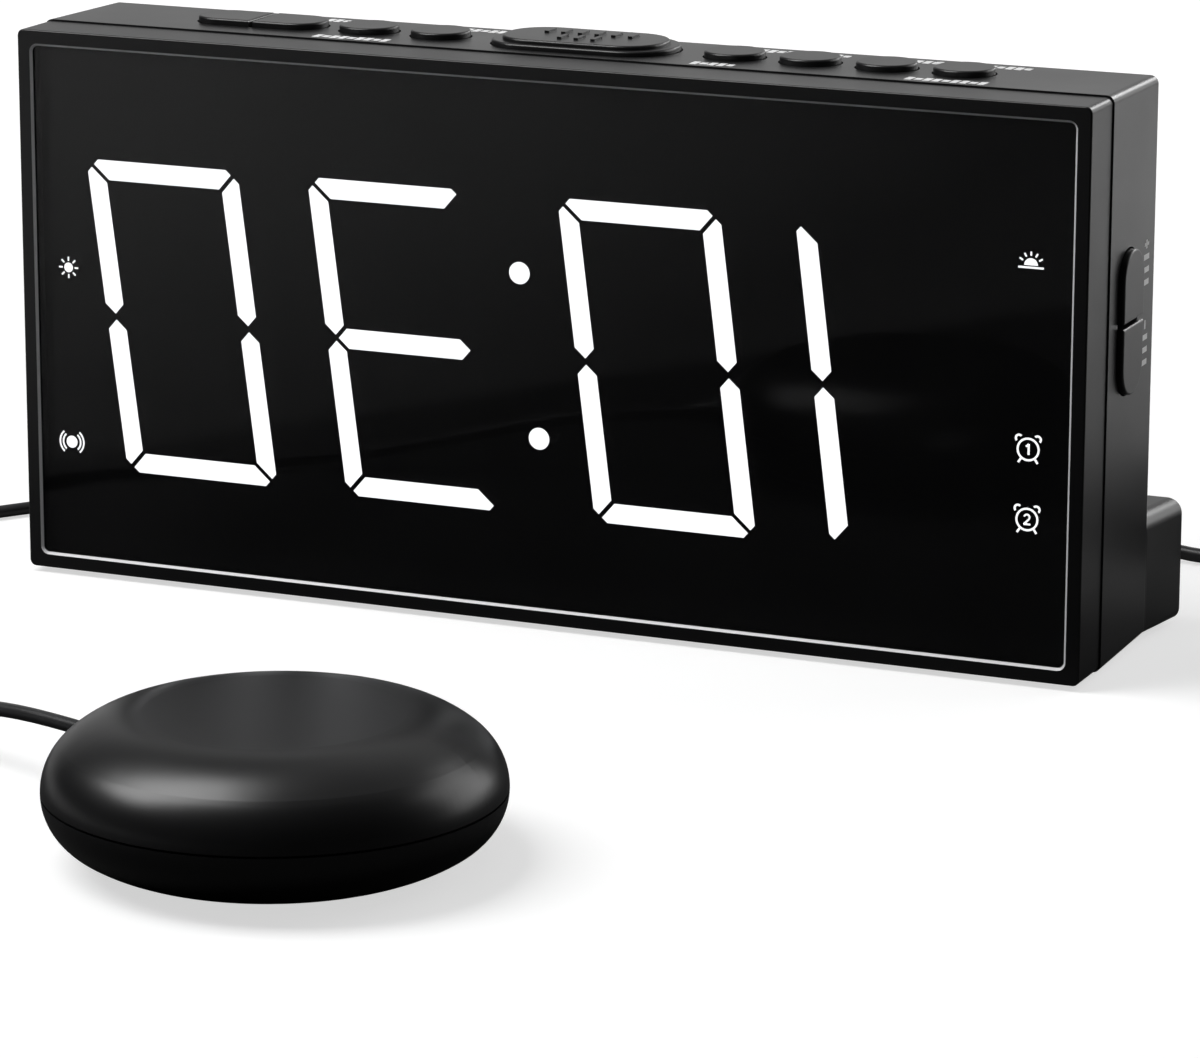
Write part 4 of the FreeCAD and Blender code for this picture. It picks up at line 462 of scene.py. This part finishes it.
def make_plastics():
    """The mouldings, rubbers and cords."""
    return {
        "shell_plastic": surface("shell_plastic", (0.007, 0.007, 0.0075), (0.010, 0.010, 0.0105),
                                 (0.29, 0.35), 25, 2600, 0.003 * MM),
        "bezel_plastic": bezel_material(),
        "puck_plastic": surface("puck_plastic", (0.0035, 0.0035, 0.004), (0.0055, 0.0055, 0.006),
                                (0.30, 0.34), 25, 2200, 0.003 * MM),
        "module_plastic": surface("module_plastic", (0.004, 0.004, 0.004), (0.007, 0.007, 0.007), (0.6, 0.8),
                                  60, 1500, 0.02 * MM, specular=0.2),
        "socket_plastic": surface("socket_plastic", (0.01, 0.01, 0.011), (0.016, 0.016, 0.017), (0.25, 0.35),
                                  60, 1800, 0.01 * MM),
        "pad_rubber": surface("pad_rubber", (0.02, 0.02, 0.02), (0.032, 0.032, 0.032), (0.7, 0.85),
                              60, 1500, 0.04 * MM, specular=0.3),
        "cord_rubber": surface("cord_rubber", (0.012, 0.012, 0.013), (0.02, 0.02, 0.021), (0.32, 0.44),
                               60, 1500, 0.02 * MM),
        "print": surface("print", (0.8, 0.8, 0.8), (0.88, 0.88, 0.88), (0.5, 0.65), 200, 3000, 0.01 * MM),
    }


def make_display_materials():
    """The window, the light guides and the lit signs."""
    return {
        "lens": lens_material(),
        "lit_diffuser": glow_material("lit_diffuser", DIGIT_GLOW),
        "dark_diffuser": surface("dark_diffuser", (0.006, 0.006, 0.006), (0.009, 0.009, 0.009), (0.5, 0.7),
                                 60, 1500, 0.01 * MM, specular=0.2),
        "sign_glow": glow_material("sign_glow", SIGN_GLOW),
    }


def make_inner_materials():
    """The metals, the boards and the speaker."""
    return {
        "board": surface("board", (0.012, 0.07, 0.03), (0.02, 0.11, 0.05), (0.35, 0.5), 90, 900, 0.02 * MM),
        "steel": surface("steel", (0.5, 0.5, 0.51), (0.66, 0.66, 0.67), (0.22, 0.36), 120, 2500, 0.01 * MM,
                         metal=1.0),
        "brass": surface("brass", (0.6, 0.43, 0.18), (0.75, 0.56, 0.27), (0.3, 0.45), 90, 1800, 0.02 * MM,
                         metal=1.0),
        "speaker_body": surface("speaker_body", (0.03, 0.03, 0.032), (0.05, 0.05, 0.052), (0.4, 0.6),
                                80, 900, 0.02 * MM),
        "cell_steel": surface("cell_steel", (0.62, 0.62, 0.63), (0.78, 0.78, 0.79), (0.18, 0.3),
                              90, 2500, 0.01 * MM, metal=1.0),
    }


# Floor and light

def floor_for_object(tree_nodes, links, position):
    """How light the floor is for every ray but the camera's: lighter behind, leftwards and past the cord."""
    place = axes(tree_nodes, links, position)
    behind = spread(tree_nodes, links, place["Y"], BACK_START, BACK_END, FLOOR_DIM, FLOOR_BACK)
    away = tree_nodes.new("ShaderNodeVectorMath")
    away.operation = "DOT_PRODUCT"
    away.inputs[1].default_value = STEP_WAY
    links.new(position, away.inputs[0])
    beyond_cord = spread(tree_nodes, links, away.outputs["Value"], STEP_START, STEP_END, 0.0, FLOOR_STEP)
    leftwards = spread(tree_nodes, links, place["X"], -LEFT_END, -LEFT_START, FLOOR_LEFT, 0.0)
    side = combined(tree_nodes, links, "ADD", beyond_cord, leftwards)
    return combined(tree_nodes, links, "ADD", behind, side)


def make_floor():
    """A floor that the camera sees white with its shadows, and that throws less light back at the object."""
    bpy.ops.mesh.primitive_plane_add(size=FLOOR_SIZE, location=(0, 0, FLOOR_LEVEL))
    floor = bpy.context.object
    floor.name = "floor"
    material, tree_nodes, links = new_material("floor")
    shader = tree_nodes["Principled BSDF"]
    shader.inputs["Roughness"].default_value = 0.9
    shader.inputs["Specular IOR Level"].default_value = 0.0
    shader.inputs["Emission Color"].default_value = WHITE
    camera_ray = tree_nodes.new("ShaderNodeLightPath").outputs["Is Camera Ray"]
    position = tree_nodes.new("ShaderNodeNewGeometry").outputs["Position"]
    mix = tree_nodes.new("ShaderNodeMix")
    mix.data_type = "RGBA"
    mix.inputs["B"].default_value = (FLOOR_SEEN, FLOOR_SEEN, FLOOR_SEEN, 1)
    links.new(camera_ray, mix.inputs["Factor"])
    links.new(floor_for_object(tree_nodes, links, position), mix.inputs["A"])
    links.new(mix.outputs["Result"], shader.inputs["Base Color"])
    distance = tree_nodes.new("ShaderNodeVectorMath")
    distance.operation = "LENGTH"
    links.new(position, distance.inputs[0])
    reach = distance.outputs["Value"]
    glow = spread(tree_nodes, links, reach, GLOW_START, GLOW_END, FLOOR_GLOW, FLOOR_FAR_GLOW)
    links.new(combined(tree_nodes, links, "MULTIPLY", camera_ray, glow), shader.inputs["Emission Strength"])
    floor.data.materials.append(material)


def make_world():
    """A dim room that is mirrored bright behind the clock, and that the camera sees white."""
    world = bpy.data.worlds.new("room")
    bpy.context.scene.world = world
    world.use_nodes = True
    tree_nodes = world.node_tree.nodes
    links = world.node_tree.links
    lit = tree_nodes["Background"]
    lit.inputs["Color"].default_value = WHITE
    seen = tree_nodes.new("ShaderNodeBackground")
    seen.inputs["Color"].default_value = WHITE
    seen.inputs["Strength"].default_value = 1.0
    rays = tree_nodes.new("ShaderNodeLightPath")
    coordinates = tree_nodes.new("ShaderNodeTexCoord")
    way = axes(tree_nodes, links, coordinates.outputs["Generated"])
    mirrored = spread(tree_nodes, links, way["Y"], ROOM_START, ROOM_END, ROOM_FRONT, ROOM_BACK)
    strength = tree_nodes.new("ShaderNodeMix")
    strength.inputs["A"].default_value = ROOM_LIGHT
    links.new(mirrored, strength.inputs["B"])
    links.new(rays.outputs["Is Glossy Ray"], strength.inputs["Factor"])
    links.new(strength.outputs["Result"], lit.inputs["Strength"])
    camera_ray = rays.outputs["Is Camera Ray"]
    white = combined(tree_nodes, links, "MAXIMUM", camera_ray, rays.outputs["Is Transmission Ray"])
    mix = tree_nodes.new("ShaderNodeMixShader")
    links.new(white, mix.inputs["Fac"])
    links.new(lit.outputs["Background"], mix.inputs[1])
    links.new(seen.outputs["Background"], mix.inputs[2])
    links.new(mix.outputs["Shader"], tree_nodes["World Output"].inputs["Surface"])


def make_lamps():
    """Soft boxes, each facing its target."""
    for name, place, target, width, height, power in LAMPS:
        data = bpy.data.lights.new(name, "AREA")
        data.shape = "RECTANGLE"
        data.size = width
        data.size_y = height
        data.energy = power
        lamp = bpy.data.objects.new(name, data)
        bpy.context.scene.collection.objects.link(lamp)
        lamp.location = place
        lamp.rotation_euler = (Vector(target) - Vector(place)).to_track_quat("-Z", "Y").to_euler()


# Printed marks and lit signs

class Marks:
    """Flat marks on one face of the clock, each a thin prism, gathered into one mesh."""

    def __init__(self, origin, across, up, thickness):
        self.origin = Vector(origin)
        self.across = Vector(across)
        self.up = Vector(up)
        self.out = self.across.cross(self.up) * thickness
        self.vertices = []
        self.faces = []

    def polygon(self, points):
        """A prism on a convex outline, which runs counterclockwise."""
        base = len(self.vertices)
        count = len(points)
        flat = [self.origin + self.across * x * MM + self.up * y * MM for x, y in points]
        self.vertices += flat + [corner + self.out for corner in flat]
        self.faces.append([base + count + index for index in range(count)])
        self.faces.append([base + index for index in reversed(range(count))])
        for index in range(count):
            following = (index + 1) % count
            self.faces.append([base + index, base + following,
                               base + count + following, base + count + index])

    def bar(self, start, end, width):
        """A straight stroke."""
        run = Vector(end) - Vector(start)
        side = Vector((-run.y, run.x)).normalized() * width / 2
        self.polygon([Vector(start) - side, Vector(end) - side, Vector(end) + side, Vector(start) + side])

    def arc(self, centre, radius, width, first, last):
        """A curved stroke from one angle to another, in degrees."""
        count = max(2, round((last - first) / ARC_STEP))
        angles = [math.radians(first + (last - first) * index / count) for index in range(count + 1)]
        inner = radius - width / 2
        outer = radius + width / 2
        for start, end in zip(angles, angles[1:]):
            corners = [(inner, start), (outer, start), (outer, end), (inner, end)]
            self.polygon([(centre[0] + reach * math.cos(angle), centre[1] + reach * math.sin(angle))
                          for reach, angle in corners])

    def disc(self, centre, radius):
        """A round dot."""
        angles = [2 * math.pi * index / DISC_SIDES for index in range(DISC_SIDES)]
        self.polygon([(centre[0] + radius * math.cos(angle), centre[1] + radius * math.sin(angle))
                      for angle in angles])

    def ray(self, centre, near, far, angle):
        """A short stroke that points away from a centre."""
        way = Vector((math.cos(angle), math.sin(angle)))
        self.bar(Vector(centre) + way * near, Vector(centre) + way * far, RAY_STROKE)

    def piece(self, name, material):
        """The finished mesh, riding on the clock."""
        mesh = bpy.data.meshes.new(name)
        mesh.from_pydata(self.vertices, [], self.faces)
        mesh.materials.append(material)
        marks = bpy.data.objects.new(name, mesh)
        bpy.context.scene.collection.objects.link(marks)
        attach(marks, ROOT)


def sun_sign(marks, place):
    """A sun: a disc and its rays."""
    marks.disc(place, SUN_RADIUS)
    near = SUN_RADIUS + RAY_GAP
    for index in range(SUN_RAYS):
        marks.ray(place, near, near + RAY_LENGTH, 2 * math.pi * index / SUN_RAYS)


def shaking_sign(marks, place):
    """A dot between two pairs of arcs."""
    marks.disc(place, DOT_RADIUS)
    for radius in WAVE_RADII:
        for middle in (0, 180):
            marks.arc(place, radius, WAVE_STROKE, middle - WAVE_HALF_ANGLE, middle + WAVE_HALF_ANGLE)


def half_sun_sign(marks, place):
    """Half a sun over a line."""
    x, z = place
    middle = (x, z - HALF_SUN_DROP)
    marks.arc(middle, HALF_SUN_RADIUS / 2, HALF_SUN_RADIUS, 0, 180)
    marks.bar((x - HORIZON_REACH, z - HORIZON_DROP), (x + HORIZON_REACH, z - HORIZON_DROP), HORIZON_STROKE)
    for index in range(1, HALF_SUN_RAYS + 1):
        marks.ray(middle, *HALF_SUN_RAY, math.pi * index / (HALF_SUN_RAYS + 1))


def alarm_sign(marks, place, number):
    """A small alarm clock with a numeral in its ring."""
    x, z = place
    marks.arc(place, RING_RADIUS, RING_STROKE, 0, 360)
    for side in (-1, 1):
        bell = (x + side * BELL_PLACE[0], z + BELL_PLACE[1])
        first = -side * BELL_TURN
        marks.arc(bell, BELL_RADIUS, BELL_STROKE, first, first + 180)
        leg_top = (x + side * LEG_TOP[0], z + LEG_TOP[1])
        leg_end = (x + side * LEG_END[0], z + LEG_END[1])
        marks.bar(leg_top, leg_end, BELL_STROKE)
    if number == 2:
        marks.arc((x, z + TWO_RISE), TWO_RADIUS, TWO_STROKE, *TWO_ARC)
    for start, end, width in ONE_STROKES if number == 1 else TWO_STROKES:
        marks.bar((x + start[0], z + start[1]), (x + end[0], z + end[1]), width)


def make_signs(material):
    """The lit signs at the two ends of the display, just behind the lens."""
    gap = MODULE_FRONT - LENS_BACK
    start = (0, MODULE_FRONT - gap * SIGN_START_SHARE, MARK_DATUM)
    marks = Marks(start, (1, 0, 0), (0, 0, 1), gap * SIGN_DEPTH_SHARE)
    sun_sign(marks, SUN_PLACE)
    shaking_sign(marks, SHAKING_PLACE)
    half_sun_sign(marks, HALF_SUN_PLACE)
    for index, place in enumerate(ALARM_PLACES):
        alarm_sign(marks, place, index + 1)
    marks.piece("display_signs", material)


def label(marks, x, y, blocks):
    """A row of plain blocks about its middle, as long as the label that it stands in for."""
    for index in range(blocks):
        along = x + (index - (blocks - 1) / 2) * LABEL_PITCH
        half = LABEL_HEIGHT / 2 if index % 3 != 1 else LABEL_HEIGHT / 3
        marks.bar((along, y - half), (along, y + half), LABEL_STROKE)


def side_label(marks, x, z, plus):
    """Plain blocks that run upwards beside a volume key, and a plus or a minus over them."""
    half = SIDE_HEIGHT / 2
    for index in range(SIDE_BLOCKS):
        along = z + (index - SIDE_BLOCKS / 2) * SIDE_PITCH
        marks.bar((x - half, along), (x + half, along), SIDE_STROKE)
    middle = z + SIDE_BLOCKS / 2 * SIDE_PITCH
    reach = SIDE_PITCH / 2 - SIGN_STROKE / 2
    marks.bar((x, middle - reach), (x, middle + reach), SIGN_STROKE)
    if plus:
        cross = half * CROSS_HEIGHT_SHARE
        marks.bar((x - cross, middle), (x + cross, middle), SIGN_STROKE * CROSS_STROKE_SHARE)


def make_prints(material):
    """White labels behind and before the keys on the top, and beside the volume keys."""
    to_front = SEAM_Y - FRONT_Y
    slope = Vector((0, 1, -DRAFT_SLOPE)).normalized()
    seam = Vector((0, SEAM_Y, HOUSING_TOP))
    marks = Marks(seam - slope * to_front, (1, 0, 0), slope, PRINT_DEPTH)
    for x, blocks in REAR_LABELS:
        label(marks, x, REAR_LABEL_Y, blocks)
    for x, blocks in FRONT_LABELS:
        label(marks, x, FRONT_LABEL_Y, blocks)
    marks.piece("top_prints", material)
    slope = Vector((-DRAFT_SLOPE, 1, 0)).normalized()
    seam = Vector((SIDE_X, SEAM_Y, MARK_DATUM))
    marks = Marks(seam - slope * to_front, slope, (0, 0, 1), PRINT_DEPTH)
    for z, plus in SIDE_LABELS:
        side_label(marks, SIDE_LABEL_Y, z, plus)
    marks.piece("side_prints", material)


# Everything together

def dress_nodes(materials):
    """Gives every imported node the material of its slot."""
    slots = {part["node"]: part["material_slot"] for part in frame["record"]["subparts"]}
    for name, node in nodes.items():
        node.data.materials.clear()
        node.data.materials.append(materials[slots[name]])


make_camera()
materials = {**make_plastics(), **make_display_materials(), **make_inner_materials()}
make_cords(materials["cord_rubber"])
dress_nodes(materials)
make_signs(materials["sign_glow"])
make_prints(materials["print"])
make_floor()
make_world()
make_lamps()
bpy.context.scene.view_settings.view_transform = "Standard"
